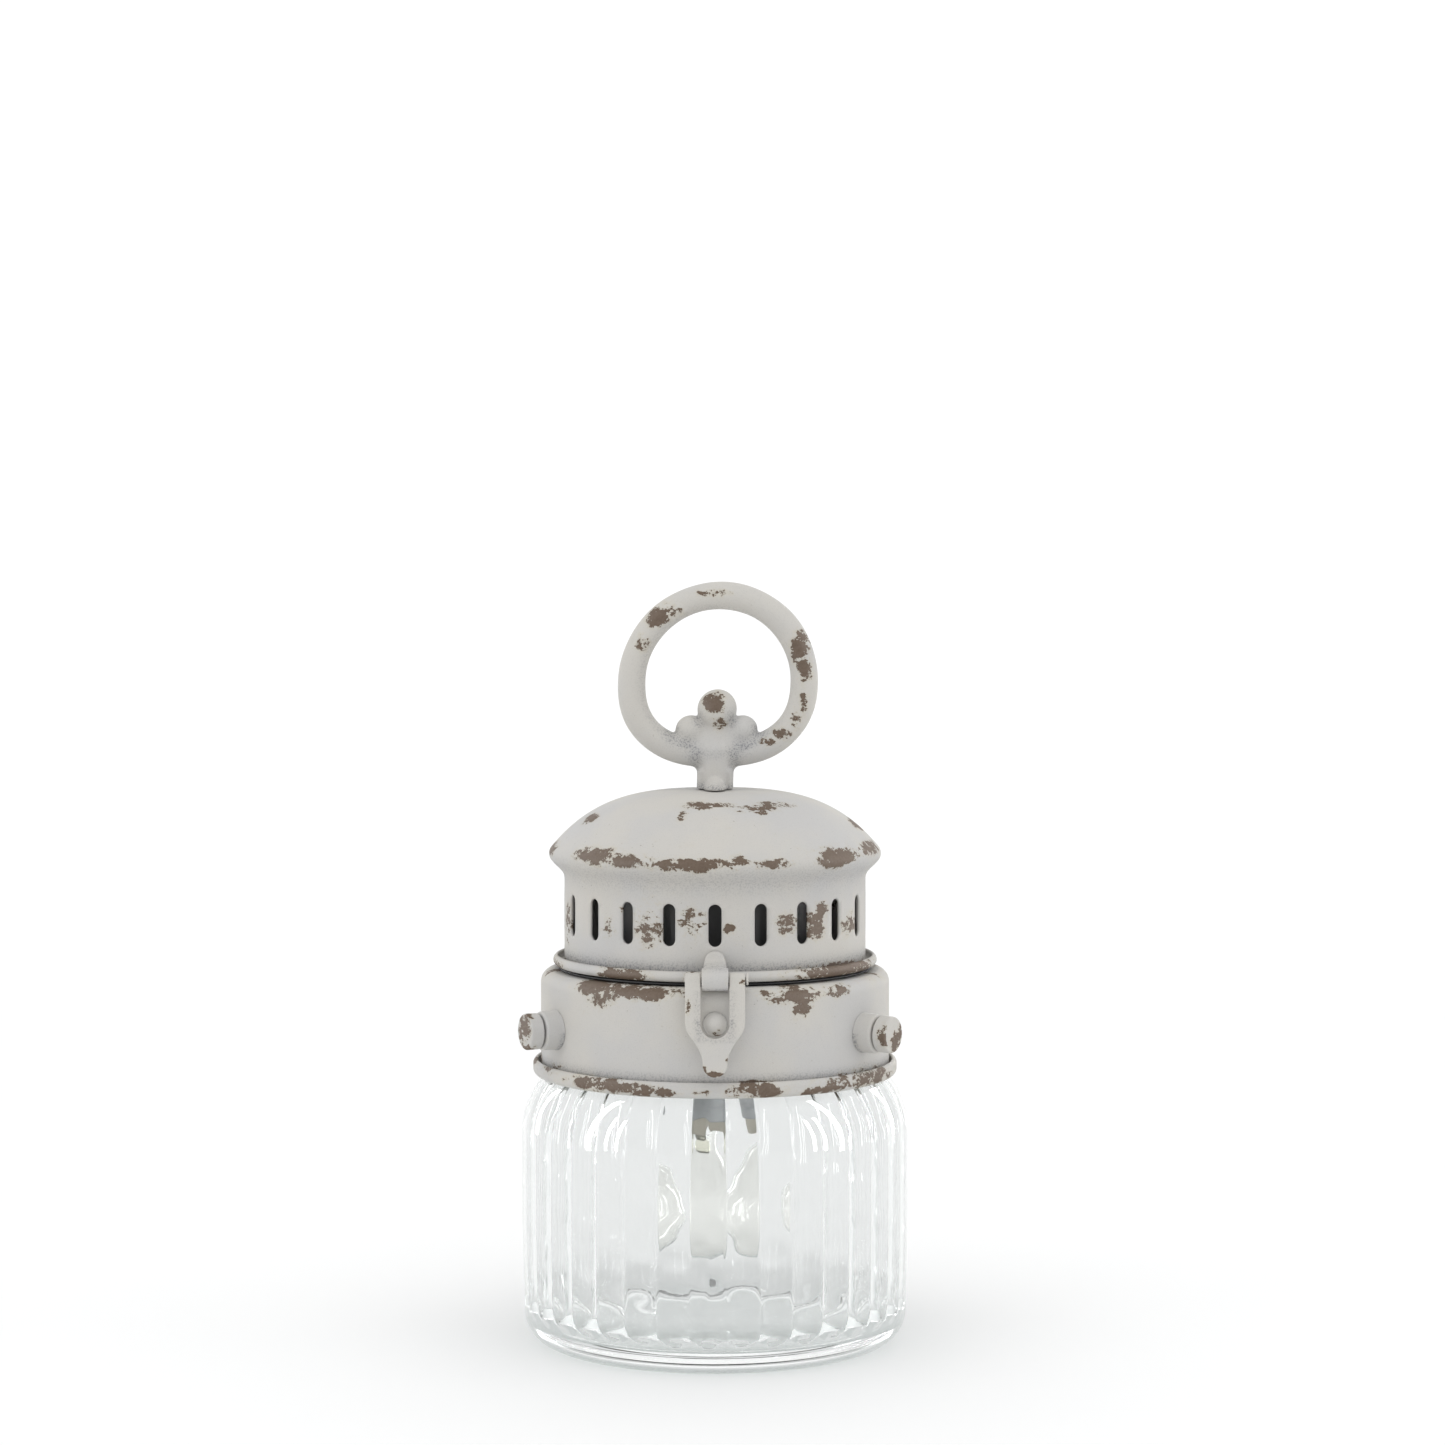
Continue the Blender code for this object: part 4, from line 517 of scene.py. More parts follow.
rub = worn_spots(points, [
    (-43.8, 113.9, 6.8, 1.8, 1.15), (-23.8, 113.5, 9.9, 1.6, 1.1), (-38.5, 111.2, 4.2, 2.3, 0.9),
    (16.0, 113.7, 1.7, 0.8, 1.0), (26.0, 112.6, 5.9, 1.9, 1.15), (29.2, 109.4, 2.6, 2.3, 1.1),
    (44.8, 112.9, 5.2, 1.6, 0.85), (-83.0, 114.6, 3.8, 0.8, 0.8), (73.5, 114.8, 1.9, 0.8, 0.6),
    (-34.8, 85.2, 13.0, 1.6, 0.88), (-18.5, 84.5, 8.6, 1.4, 0.95), (12.8, 85.2, 6.8, 1.7, 0.90),
    (10.8, 86.9, 2.6, 0.8, 0.85), (37.2, 84.0, 8.0, 1.1, 0.90), (54.0, 85.4, 14.4, 2.0, 0.92),
    (-63.5, 86.9, 3.6, 1.5, 0.8), (-86.0, 87.3, 6.0, 1.8, 0.8), (-2.8, 84.5, 1.5, 0.9, 0.5),
    (115, 113.6, 14.0, 1.8, 1.1), (160, 84.8, 16.0, 1.5, 1.1), (205, 113.6, 12.0, 1.8, 1.1),
    (240, 84.8, 14.0, 1.5, 1.0), (120, 84.8, 9.0, 1.5, 1.0)])
rub = np.maximum(rub, 0.12 * bell(points[:, 2], 113.9, 1.2) * (reach > 50.0))
# Painted shade in the channel above the rolled rim and on the top just inside the lid's bead.
painted_shade = 0.55 * bell(points[:, 2], 87.6, 1.3) * (reach < COLLAR_RADIUS + 0.6)
painted_shade += 0.35 * bell(points[:, 2], 114.9, 0.6) * (reach < 50.6)
set_wear(collar, rub, painted_shade)
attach(collar, "root")
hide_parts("collar")

# ---- Lid: spun dome with a rolled brim, slots pierced round its wall and an open bead below --
# One thin sheet. Each slot sits in its own stretch of wall, and the mesh runs round its edge.

LID_SHEET = 0.8
LID_WALL = 46.7
SLOTS = 21
SLOT_HALF = 2.0
SLOT_LOW = 126.8
SLOT_HIGH = 139.5
SLOT_COLUMNS = 10
BETWEEN_COLUMNS = 6
END_ROWS = 5
SIDE_ROWS = 9
WALL_LOW = 122.6
WALL_HIGH = 143.4
BRIM_START = math.radians(40.0)
BRIM_END = math.radians(35.0)


def bezier(a, b, c, d, count):
    """Points on a cubic Bezier curve."""
    t = np.linspace(0.0, 1.0, count)[:, None]
    a, b, c, d = (np.array(p, dtype=np.float64) for p in (a, b, c, d))
    return (1 - t) ** 3 * a + 3 * (1 - t) ** 2 * t * b + 3 * (1 - t) * t * t * c + t ** 3 * d


brim = arc_points((48.6, 151.0), 2.9, 40.0, -35.0, 12)
fall = np.array([math.sin(BRIM_START), -math.cos(BRIM_START)])
tuck = np.array([-math.sin(BRIM_END), -math.cos(BRIM_END)])
upper = even_path(np.concatenate([
    [(2.7, 170.5)],
    bezier((10.0, 170.5), (32.0, 170.5), brim[0] - 12.7 * fall, brim[0], 60),
    brim[1:-1],
    bezier(brim[-1], brim[-1] + 3.0 * tuck, (LID_WALL, 146.0), (LID_WALL, WALL_HIGH), 20)]), 0.9)
lower = even_path(np.concatenate([
    [(LID_WALL, WALL_LOW)],
    arc_points((48.1, 118.6), 1.4, 180.0, 270.0, 8),
    arc_points((48.5, 118.1), 0.9, 270.0, 440.0, 14)]), 0.4)
in_slot = SLOT_HALF * np.sin(np.linspace(-math.pi / 2.0, math.pi / 2.0, SLOT_COLUMNS + 1)) / LID_WALL
pitch = 2.0 * math.pi / SLOTS
between = np.linspace(in_slot[-1], pitch + in_slot[0], BETWEEN_COLUMNS + 1)[1:-1]
one_slot = np.concatenate([in_slot, between])
lid_turn = (one_slot[None, :] + pitch * np.arange(SLOTS)[:, None]).ravel()


def slot_wall():
    """Wall with its slots left open, in upright columns: the rows under a slot end on its half-round
    foot and the rows over it start on its half-round head, z = middle +- (straight + sqrt(half^2 - x^2))."""
    side = np.full(len(one_slot), SLOT_HALF)
    side[:SLOT_COLUMNS + 1] = in_slot * LID_WALL
    round_end = np.tile(np.sqrt(np.clip(SLOT_HALF ** 2 - side ** 2, 0.0, None)), SLOTS)
    foot = SLOT_LOW + SLOT_HALF - round_end
    head = SLOT_HIGH - SLOT_HALF + round_end
    end_share = np.linspace(0.0, 1.0, END_ROWS + 1)[:, None]
    side_share = np.linspace(0.0, 1.0, SIDE_ROWS + 1)[1:-1, None]
    height = np.concatenate([WALL_LOW + end_share * (foot - WALL_LOW), foot + side_share * (head - foot),
                             head + end_share * (WALL_HIGH - head)])
    faces = grid_faces(len(height), len(lid_turn), True)
    row, column = np.divmod(np.arange(len(faces)), len(lid_turn))
    is_hole = (row >= END_ROWS) & (row < END_ROWS + SIDE_ROWS) & (column % len(one_slot) < SLOT_COLUMNS)
    return spin(LID_WALL, height, lid_turn).reshape(-1, 3), faces[~is_hole]


upper_points, lower_points = (
    spin(path[:, :1], path[:, 1:], lid_turn).reshape(-1, 3) for path in (upper, lower))
wall_points, wall_faces = slot_wall()
lid_faces = np.concatenate([
    grid_faces(len(upper), len(lid_turn), True)[:, ::-1],
    grid_faces(len(lower), len(lid_turn), True)[:, ::-1] + len(upper_points),
    wall_faces + len(upper_points) + len(lower_points)])
lid = new_object("lid_shell", np.concatenate([upper_points, lower_points, wall_points]) * MM, lid_faces,
                 rubbed_paint("lid_paint", (0.02, 0.07, 0.013)))
sheet = bmesh.new()
sheet.from_mesh(lid.data)
bmesh.ops.remove_doubles(sheet, verts=sheet.verts, dist=0.01 * MM)
sheet.to_mesh(lid.data)
sheet.free()
thick = lid.modifiers.new("sheet", "SOLIDIFY")
thick.thickness = LID_SHEET * MM
thick.offset = -1.0
points = item_points(lid)
rub = worn_spots(points, [
    (-45.5, 152.8, 7.6, 1.9, 1.1), (-33.0, 151.9, 6.4, 1.6, 1.15), (-7.5, 151.5, 10.4, 1.5, 1.2),
    (9.0, 153.0, 1.9, 1.3, 1.1), (20.0, 151.9, 4.6, 1.1, 1.1), (46.5, 152.4, 7.0, 2.2, 1.25),
    (72.5, 153.8, 7.0, 1.5, 1.1),
    (87.0, 160.3, 6.2, 1.4, 1.0), (-81.5, 153.0, 4.6, 1.6, 1.0), (-72.0, 162.4, 3.8, 1.2, 0.9),
    (-10.0, 167.6, 3.8, 0.8, 0.8), (-16.0, 165.1, 1.1, 0.9, 0.9), (22.2, 167.0, 5.6, 0.8, 0.7),
    (44.2, 167.3, 3.6, 0.5, 0.6), (24.0, 165.7, 1.7, 0.6, 0.5), (2.0, 167.9, 5.0, 0.4, 0.6),
    (34.0, 167.9, 5.0, 0.4, 0.6), (14.0, 166.3, 1.6, 0.4, 0.55),
    (-43.2, 131.3, 2.2, 2.1, 0.95), (-24.8, 133.1, 4.2, 5.6, 0.58), (-8.0, 134.2, 3.8, 3.4, 0.50),
    (5.0, 132.1, 1.3, 1.3, 0.9), (27.5, 133.1, 3.0, 2.4, 0.72), (40.4, 132.8, 2.8, 3.6, 1.0),
    (43.5, 136.5, 2.2, 1.8, 0.9), (61.8, 131.1, 4.6, 2.7, 0.6), (-75.0, 129.8, 3.1, 5.4, 0.55),
    (-37.2, 137.1, 0.9, 0.6, 0.8),
    (-77.0, 117.6, 5.2, 1.0, 0.9), (-35.0, 117.8, 6.9, 1.0, 1.15), (51.5, 118.3, 16.0, 1.4, 1.0),
    (45.0, 117.9, 8.5, 1.1, 1.15), (-7.3, 118.1, 2.3, 1.0, 0.5),
    (120, 152.2, 16.0, 2.0, 1.15), (160, 151.8, 12.0, 1.8, 1.1), (205, 152.2, 16.0, 2.0, 1.15),
    (245, 151.8, 12.0, 1.8, 1.1), (140, 118.0, 12.0, 1.1, 1.0), (220, 118.0, 12.0, 1.1, 1.0),
    (130, 132.0, 6.0, 3.5, 0.85), (215, 132.0, 7.0, 3.5, 0.85), (175, 132.0, 5.0, 3.0, 0.75),
    (150, 166.0, 4.0, 1.0, 0.8), (230, 163.0, 4.0, 1.2, 0.8)])
# Painted shade on the wall just above the bead and under the brim.
shade_over_bead = 0.7 * bell(points[:, 2], 119.6, 1.6) * (np.hypot(points[:, 0], points[:, 1]) < LID_WALL + 0.9)
set_wear(lid, rub, shade_over_bead + 0.34 * bell(points[:, 2], 146.6, 3.0))
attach(lid, "lid")
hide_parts("lid_cap")

# ---- Ring handle: one cast piece of ring, three-lobed drop, stem with two ribs, and toes ------
# The casting is a smooth union of round bodies: a coarse skin of the parts is drawn first, then
# each of its points slides onto the exact blended surface, so every joint has a soft fillet.

RING_RADIUS = 26.75
RING_LEAN = 0.028
RING_TUBE = 4.35
RING_CENTRE = 204.0
RING_DROP = 22.3
RING_SQUARENESS = 0.84
SPINE_COUNT = 240
CAST_STEP = 0.48
STEM_FOOT = 170.9


def to_path(flat, path):
    """Distance in a plane from points to an open path."""
    start, step = path[:-1], np.diff(path, axis=0)
    length = np.sum(step ** 2, axis=1)
    best = np.full(len(flat), 1e9)
    for first in range(0, len(start), 16):
        a, s, n = (values[None, first:first + 16] for values in (start, step, length))
        away = flat[:, None, :] - a
        share = np.clip(np.sum(away * s, axis=2) / n, 0.0, 1.0)
        best = np.minimum(best, np.min(np.sum((away - share[..., None] * s) ** 2, axis=2), axis=1))
    return np.sqrt(best)


# The ring's centre line is a half circle above its centre and a squarer half, of power about 2.4, below.
side, rise = np.sin(full_turn(SPINE_COUNT)), np.cos(full_turn(SPINE_COUNT))
lower_half = np.stack([np.sign(side) * np.abs(side) ** RING_SQUARENESS * RING_RADIUS,
                       RING_CENTRE - RING_DROP * np.abs(rise) ** RING_SQUARENESS], axis=-1)[rise < 1e-7]
LOWER_SPINE = lower_half[np.argsort(lower_half[:, 0])]


def to_spine(points):
    """Distance from points to the closed centre line."""
    flat = points[:, [0, 2]]
    gap = np.abs(np.hypot(flat[:, 0], flat[:, 1] - RING_CENTRE) - RING_RADIUS)
    low = flat[:, 1] < RING_CENTRE
    gap[low] = to_path(flat[low], LOWER_SPINE)
    return np.hypot(gap, points[:, 1])


def upright(points, x, y, radius, low, high):
    """Distance to an upright round bar with rounded ends."""
    level = np.clip(points[:, 2], low, high)
    return np.sqrt((points[:, 0] - x) ** 2 + (points[:, 1] - y) ** 2 + (points[:, 2] - level) ** 2) - radius


def egg(points, centre, radii):
    """Near distance to an ellipsoid."""
    scaled = (points - centre) / radii
    size = np.sqrt(np.sum(scaled ** 2, axis=1)) + 1e-9
    slope = np.sqrt(np.sum((scaled / radii) ** 2, axis=1)) + 1e-9
    return size * (size - 1.0) / slope


def soft_union(first, second, fillet):
    """Smaller of two distances, rounded off by a fillet where they meet."""
    share = np.clip(0.5 + 0.5 * (second - first) / fillet, 0.0, 1.0)
    return second + (first - second) * share - fillet * share * (1.0 - share)


def cast_distance(points):
    """Distance to the surface of the casting, which leans a little to the right above its foot: ring, web,
    side lobes, drop, the stem's bars at the sides and in front, toes, and ribs. Its foot is cut flat."""
    points = points - np.maximum(points[:, 2:] - STEM_FOOT - 1.0, 0.0) * (RING_LEAN, 0.0, 0.0)
    mirror = points.copy()
    mirror[:, 1] = -np.abs(mirror[:, 1])
    fold = mirror.copy()
    fold[:, 0] = np.abs(fold[:, 0])
    lift = 0.1 * np.sin(points[:, 0] * 0.23 + 1.0) * np.cos(points[:, 2] * 0.19) - 0.1
    skin = to_spine(points) - RING_TUBE - lift
    for part, fillet in (
            (egg(points, (0.0, 0.0, RING_CENTRE - 18.2), (10.8, 3.5, 5.4)), 2.6),
            (egg(fold, (8.0, 0.0, RING_CENTRE - 14.9), (4.7, 4.2, 4.5)), 1.5),
            (egg(points, (0.0, 0.0, RING_CENTRE - 8.5), (6.1, 5.6, 6.15)), 1.3),
            (upright(fold, 2.75, 0.0, 2.9, STEM_FOOT - 2.0, RING_CENTRE - 24.0), 2.2),
            (upright(mirror, 0.0, -2.3, 3.55, STEM_FOOT - 2.0, RING_CENTRE - 21.4), 1.1),
            (egg(mirror, (0.0, -5.4, STEM_FOOT - 0.9), (3.6, 6.9, 4.7)), 0.8),
            (upright(fold, 4.0, -2.6, 1.35, STEM_FOOT - 3.0, STEM_FOOT + 5.0), 0.7)):
        skin = soft_union(skin, part, fillet)
    return -soft_union(-skin, points[:, 2] - STEM_FOOT, 0.3)


def march(distance, low, high, step):
    """Skin where a distance is zero, over a grid of cubes whose border lies outside: each edge of the grid
    that crosses the surface gets one face between the four cubes round it. The corner in a cube is the
    mean of the crossings on its edges."""
    axes = [np.arange(a, b + step, step) for a, b in zip(low, high)]
    grid = np.stack(np.meshgrid(*axes, indexing="ij"), axis=-1)
    parts = np.array_split(grid.reshape(-1, 3), 30)
    value = np.concatenate([distance(part) for part in parts]).reshape(grid.shape[:3])
    crossings, faces = [], []
    for axis in range(3):
        along, first, second = np.roll(np.eye(3, dtype=int), -axis, axis=0)
        ahead = np.roll(value, -1, axis=axis)
        start = np.argwhere((value < 0.0) != (ahead < 0.0))
        here, there = value[tuple(start.T)], ahead[tuple(start.T)]
        share = here / (here - there)
        crossings.append(grid[tuple(start.T)] + step * share[:, None] * along)
        cubes = np.stack([start, start - first, start - first - second, start - second], axis=1)
        face = np.ravel_multi_index(tuple(np.moveaxis(cubes, -1, 0)), value.shape)
        faces.append(np.where(here[:, None] < 0.0, face, face[:, ::-1]))
    crossings, faces = np.concatenate(crossings), np.concatenate(faces)
    corner = np.unique(faces, return_inverse=True)[1].ravel()
    total = np.stack([np.bincount(corner, np.repeat(column, 4)) for column in crossings.T], axis=-1)
    return total / np.bincount(corner)[:, None], corner.reshape(faces.shape)


def settle(points, distance, rounds):
    """Slides points onto the surface where a distance is zero, along its slope."""
    for _ in range(rounds):
        value = distance(points)
        slope = np.stack([distance(points + shift) - value for shift in 0.01 * np.eye(3)], axis=-1) / 0.01
        points = points - slope * (value / np.maximum(np.sum(slope ** 2, axis=1), 0.2))[:, None]
    return points


def skin_of(name, distance, low, high, step, material):
    """Piece whose surface is where a distance is zero."""
    points, faces = march(distance, low, high, step)
    return new_object(name, settle(points, distance, 3) * MM, faces, material)


ring = skin_of("ring_casting", cast_distance, (-32.2, -13.0, 169.6), (34.0, 13.2, 236.4), CAST_STEP,
               rubbed_paint("ring_paint", (0.31, 0.12, 0.04)))
points = item_points(ring)
rub = worn_spots(points, [
    (-17.5, 223.9, 2.6, 2.4, 1.0), (-22.8, 216.4, 2.0, 2.0, 0.62), (-0.8, 231.6, 4.6, 0.9, 0.66),
    (-13.0, 226.5, 3.0, 1.8, 0.5), (26.6, 214.6, 2.1, 4.0, 1.0), (27.6, 208.0, 1.7, 3.0, 0.95),
    (27.6, 197.5, 1.2, 3.0, 0.7), (24.6, 192.5, 1.6, 2.6, 0.75), (21.0, 188.0, 2.2, 1.6, 0.72),
    (16.3, 185.6, 1.8, 0.9, 0.85), (0.0, 196.9, 2.7, 2.6, 1.0),
    (1.2, 191.6, 1.8, 2.0, 0.85)], False) * (points[:, 1] < 1.5)
rub = np.maximum(rub, worn_spots(points, [
    (18.0, 224.0, 3.0, 2.4, 0.9), (-26.5, 210.0, 2.0, 5.0, 0.9), (0.0, 196.5, 3.0, 2.4, 0.85),
    (-18.0, 187.5, 3.0, 1.6, 0.75), (4.0, 231.8, 6.0, 1.2, 0.7)], False) * (points[:, 1] > 0.5))
side, level = np.abs(points[:, 0]), points[:, 2]
# Painted shade in the crevices where the lobes, drop and stem meet, round the foot, and along the ring's inner
# edge.
painted_shade = 0.9 * np.exp(-(np.hypot(side - 9.0, level - 184.6) / 2.6) ** 2) * (np.abs(points[:, 1]) < 4.2)
painted_shade += 0.8 * bell(side, 6.2, 1.3) * bell(level, 180.0, 3.0)
painted_shade += 0.9 * bell(side, 13.4, 1.6) * bell(level, 189.0, 2.2)
painted_shade += 0.8 * bell(side, 5.2, 1.3) * bell(level, 192.5, 2.0) + 0.8 * bell(level, STEM_FOOT + 0.3, 1.2)
painted_shade += 0.3 * bell(np.hypot(side, level - RING_CENTRE), RING_RADIUS - RING_TUBE, 1.2)
set_wear(ring, rub, painted_shade)
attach(ring, "lid")
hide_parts("ring_handle")

# ---- Thumb screws: three turned knobs on plain shanks, each through a boss riveted to the collar
# The boss fits the collar's curve. Knob faces are rubbed down to the undercoat by fingers.

SCREW_LEVEL = 99.0
SCREW_TIP = 45.9
KNOB_BACK = 60.0
KNOB_FACE = KNOB_BACK + 4.6
BOSS_RADIUS = 5.9
KNOB_COLUMNS = 72

# Side, azimuth from the front, worn spots on the face as (across, up, spread, strength), and worn
# stretches of the rim as (angle, spread) in degrees.
SCREWS = (
    ("left", -63.5, [(0.8, 1.8, 2.6, 1.15), (-3.0, -1.6, 1.8, 1.0), (-2.0, 3.6, 1.4, 0.9)],
     [(12.0, 16.0), (165.0, 18.0)]),
    ("right", 56.5, [(1.8, -0.6, 2.4, 1.0), (4.0, 1.5, 1.3, 1.0), (0.5, -3.6, 1.5, 0.7)],
     [(-90.0, 26.0), (175.0, 20.0)]),
    ("rear", 176.5, [(-0.5, 0.5, 3.0, 1.0)], [(80.0, 30.0)]))


def outward(points, azimuth, level):
    """Points of (side, reach, rise) set at an azimuth from the front, with reach measured from Z."""
    turn = math.radians(azimuth)
    side, reach, rise = points[..., 0], points[..., 1], points[..., 2]
    return np.stack([reach * math.sin(turn) + side * math.cos(turn),
                     -reach * math.cos(turn) + side * math.sin(turn), rise + level], axis=-1)


def round_axle(radius, reach):
    """Rings round an axle along the reach, from a column of radii and one of reaches."""
    turn = full_turn(KNOB_COLUMNS)
    return np.stack(np.broadcast_arrays(radius * np.sin(turn), reach, radius * np.cos(turn)), axis=-1)


knob_path = even_path(np.concatenate([
    [(1.3, 46.0), (1.8, 46.7), (1.8, KNOB_BACK), (4.9, KNOB_BACK)],
    arc_points((4.9, KNOB_BACK + 0.6), 0.6, -90.0, 0.0, 6),
    arc_points((4.75, KNOB_BACK + 3.75), 0.75, 0.0, 62.0, 8),
    [(4.55, KNOB_BACK + 4.42), (3.0, KNOB_BACK + 4.54), (0.9, KNOB_BACK + 4.58)]]), 0.22)
knob_rings = round_axle(knob_path[:, :1], knob_path[:, 1:])
knob_ends = np.array([(0.0, SCREW_TIP, 0.0), (0.0, KNOB_FACE, 0.0)])

# The boss runs up the outside from a small fillet, over the front face, and back through the bore
# to a foot that lies on the collar's curve, sqrt(collar radius^2 - side^2) from Z.
boss_foot = np.array([
    (2.1, 0.0), (3.6, 0.0), (5.0, 0.0), (6.1, 0.0), (6.15, 0.12), (6.0, 0.3),
    (BOSS_RADIUS, 0.6), (BOSS_RADIUS, 1.2), (BOSS_RADIUS, 2.2)])
boss_front = even_path(np.concatenate([
    [(BOSS_RADIUS, 58.0)], arc_points((BOSS_RADIUS - 0.9, 58.6), 0.9, 0.0, 90.0, 8),
    [(2.4, 59.5), (2.1, 59.2)]]), 0.35)
on_collar = np.sqrt((COLLAR_RADIUS + 0.05) ** 2 - (boss_foot[:, :1] * np.sin(full_turn(KNOB_COLUMNS))) ** 2)
boss_rings = np.concatenate([round_axle(boss_foot[:, :1], on_collar + boss_foot[:, 1:]),
                             round_axle(boss_front[:, :1], boss_front[:, 1:])])

for side, azimuth, face_spots, rim_spots in SCREWS:
    paint = rubbed_paint(f"screw_paint_{side}", (0.01 * azimuth, 0.05, 0.02 * azimuth))
    foot, head = outward(knob_ends, azimuth, SCREW_LEVEL)
    knob = turned_solid(f"screw_{side}", outward(knob_rings, azimuth, SCREW_LEVEL), foot, head, paint)
    flat = np.concatenate([knob_rings.reshape(-1, 3), knob_ends])
    on_face = np.clip((flat[:, 1] - KNOB_BACK - 3.9) / 0.5, 0.0, 1.0)
    rub = np.zeros(len(flat))
    for across_at, up_at, spread, strength in face_spots:
        away = np.hypot(flat[:, 0] - across_at, flat[:, 2] - up_at)
        rub = np.maximum(rub, strength * on_face * bell(away, 0.0, spread))
    on_rim = np.hypot(flat[:, 0], flat[:, 2]) > 4.4
    on_side = np.clip((flat[:, 1] - KNOB_BACK - 1.0) / 2.0, 0.0, 1.0) * on_rim
    for turn_to, spread in rim_spots:
        away = (np.degrees(np.arctan2(flat[:, 0], flat[:, 2])) - turn_to + 180.0) % 360.0 - 180.0
        rub = np.maximum(rub, on_side * bell(away, 0.0, spread))
    # Painted shade on the knob's back and its shank, next to the boss.
    set_wear(knob, rub, 0.7 * (flat[:, 1] < KNOB_BACK + 0.35))
    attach(knob, f"thumb_screw_{side}")
    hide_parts(f"thumb_screw_{side}")
    boss = closed_rings(f"boss_{side}", outward(boss_rings, azimuth, SCREW_LEVEL), paint)
    reach, rise = boss_rings[..., 1].ravel(), boss_rings[..., 2].ravel()
    # Painted shade at the boss's foot against the collar, deepest on its underside.
    low = np.clip((55.4 - reach) / 1.4, 0.0, 1.0) * (0.55 - 0.45 * np.sign(rise))
    set_wear(boss, 0.12 * bell(reach, 59.1, 0.4), low)
    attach(boss, "root")
    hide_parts(f"screw_boss_{side}")

# ---- Latch: lug riveted to the lid, pin, forked hasp, and the ball stud on the collar ---------
# The hasp hangs unhooked, tilted out just clear of the stud. All of it is painted with the rest.

PIN_OUT = 54.8
PIN_LEVEL = 118.2
HASP_TILT = 11.43203304965928
HASP_HALF = 8.9
HASP_LENGTH = 29.0
HASP_SHOULDER = 13.0
HASP_TIP = 3.65
HASP_SLOT = 4.25
HASP_SLOT_END = 13.4
HASP_SHEET = 1.1
HASP_BACK = 1.9
STUD_OUT = 54.5
STUD_LEVEL = 104.8
STUD_RADIUS = 3.4


def meet(first, second):
    """Distance to where two bodies overlap, from the distances to each."""
    outside = np.hypot(np.maximum(first, 0.0), np.maximum(second, 0.0))
    return outside + np.minimum(np.maximum(first, second), 0.0)


def bar_distance(points, y, z, radius, start, end, rounding):
    """Distance to a bar along X with rounded ends."""
    side = np.hypot(points[:, 1] - y, points[:, 2] - z) - (radius - rounding)
    ends = np.abs(points[:, 0] - (start + end) / 2.0) - ((end - start) / 2.0 - rounding)
    return meet(side, ends) - rounding


taper = HASP_LENGTH - HASP_TIP - HASP_SHOULDER
hasp_flank = bezier((HASP_HALF, -HASP_SHOULDER), (HASP_HALF, -HASP_SHOULDER - 0.36 * taper),
                    (HASP_TIP, HASP_TIP - HASP_LENGTH + 0.48 * taper), (HASP_TIP, HASP_TIP - HASP_LENGTH), 14)
HASP_EDGE = np.concatenate([[(HASP_HALF, 2.0)], hasp_flank,
                            arc_points((0.0, HASP_TIP - HASP_LENGTH), HASP_TIP, 0.0, -90.0, 10)[1:]])


def hasp_distance(points):
    """Distance to the hasp, hanging straight down from a pin at the origin: a plate inside its edge and
    outside its slot, and an eye at each arm's end."""
    side, level = np.abs(points[:, 0]), points[:, 2]
    away = to_path(np.stack([side, level], axis=-1), HASP_EDGE)
    width = np.interp(-level, -HASP_EDGE[:, 1], HASP_EDGE[:, 0])
    edge = np.where((side < width) & (level > -HASP_LENGTH), -away, away)
    slot = np.hypot(side, np.minimum(level + HASP_SLOT_END, 0.0)) - HASP_SLOT
    rounding = 0.38
    thick = np.abs(points[:, 1] + HASP_BACK - HASP_SHEET / 2.0) - (HASP_SHEET / 2.0 - rounding)
    plate = np.maximum(meet(np.maximum(edge, -slot) + rounding, thick) - rounding, level - 0.5)
    fold = np.stack([side, points[:, 1], level], axis=-1)
    eye = bar_distance(fold, 0.0, 0.0, 1.9, HASP_SLOT, HASP_HALF, 0.45)
    return np.minimum(plate, eye)


def tilted(points, degrees, out, level):
    """Points turned about a pin along X, then set at the pin's place in front of the lid."""
    turn = math.radians(degrees)
    y, z = points[:, 1], points[:, 2]
    return np.stack([points[:, 0], y * math.cos(turn) - z * math.sin(turn) - out,
                     y * math.sin(turn) + z * math.cos(turn) + level], axis=-1)


flat, faces = march(hasp_distance, (-9.6, -2.5, -29.6), (9.6, 2.4, 2.5), 0.22)
flat = settle(flat, hasp_distance, 3)
hasp = new_object("hasp_plate", tilted(flat, -HASP_TILT, PIN_OUT, PIN_LEVEL) * MM, faces,
                  rubbed_paint("hasp_paint", (0.21, 0.33, 0.09)))
rub = worn_spots(flat, [
    (0.6, -28.4, 2.8, 0.9, 0.95), (-3.2, -26.8, 0.7, 0.8, 0.8), (-8.2, -8.2, 0.7, 2.0, 0.72),
    (8.3, -1.0, 1.2, 0.8, 0.6), (3.6, -23.6, 0.5, 0.8, 0.5)], False)
# Painted shade round the end of the slot and along the arms' inner edges.
painted_shade = 0.35 * bell(np.hypot(flat[:, 0], flat[:, 2] + HASP_SLOT_END), 4.8, 0.8) * (flat[:, 2] < -12.0)
painted_shade += 0.30 * bell(np.abs(flat[:, 0]), 4.9, 1.0) * (flat[:, 2] > -19.0) * (flat[:, 2] < -3.5)
set_wear(hasp, rub, painted_shade)
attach(hasp, "latch")
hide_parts("latch_hasp")


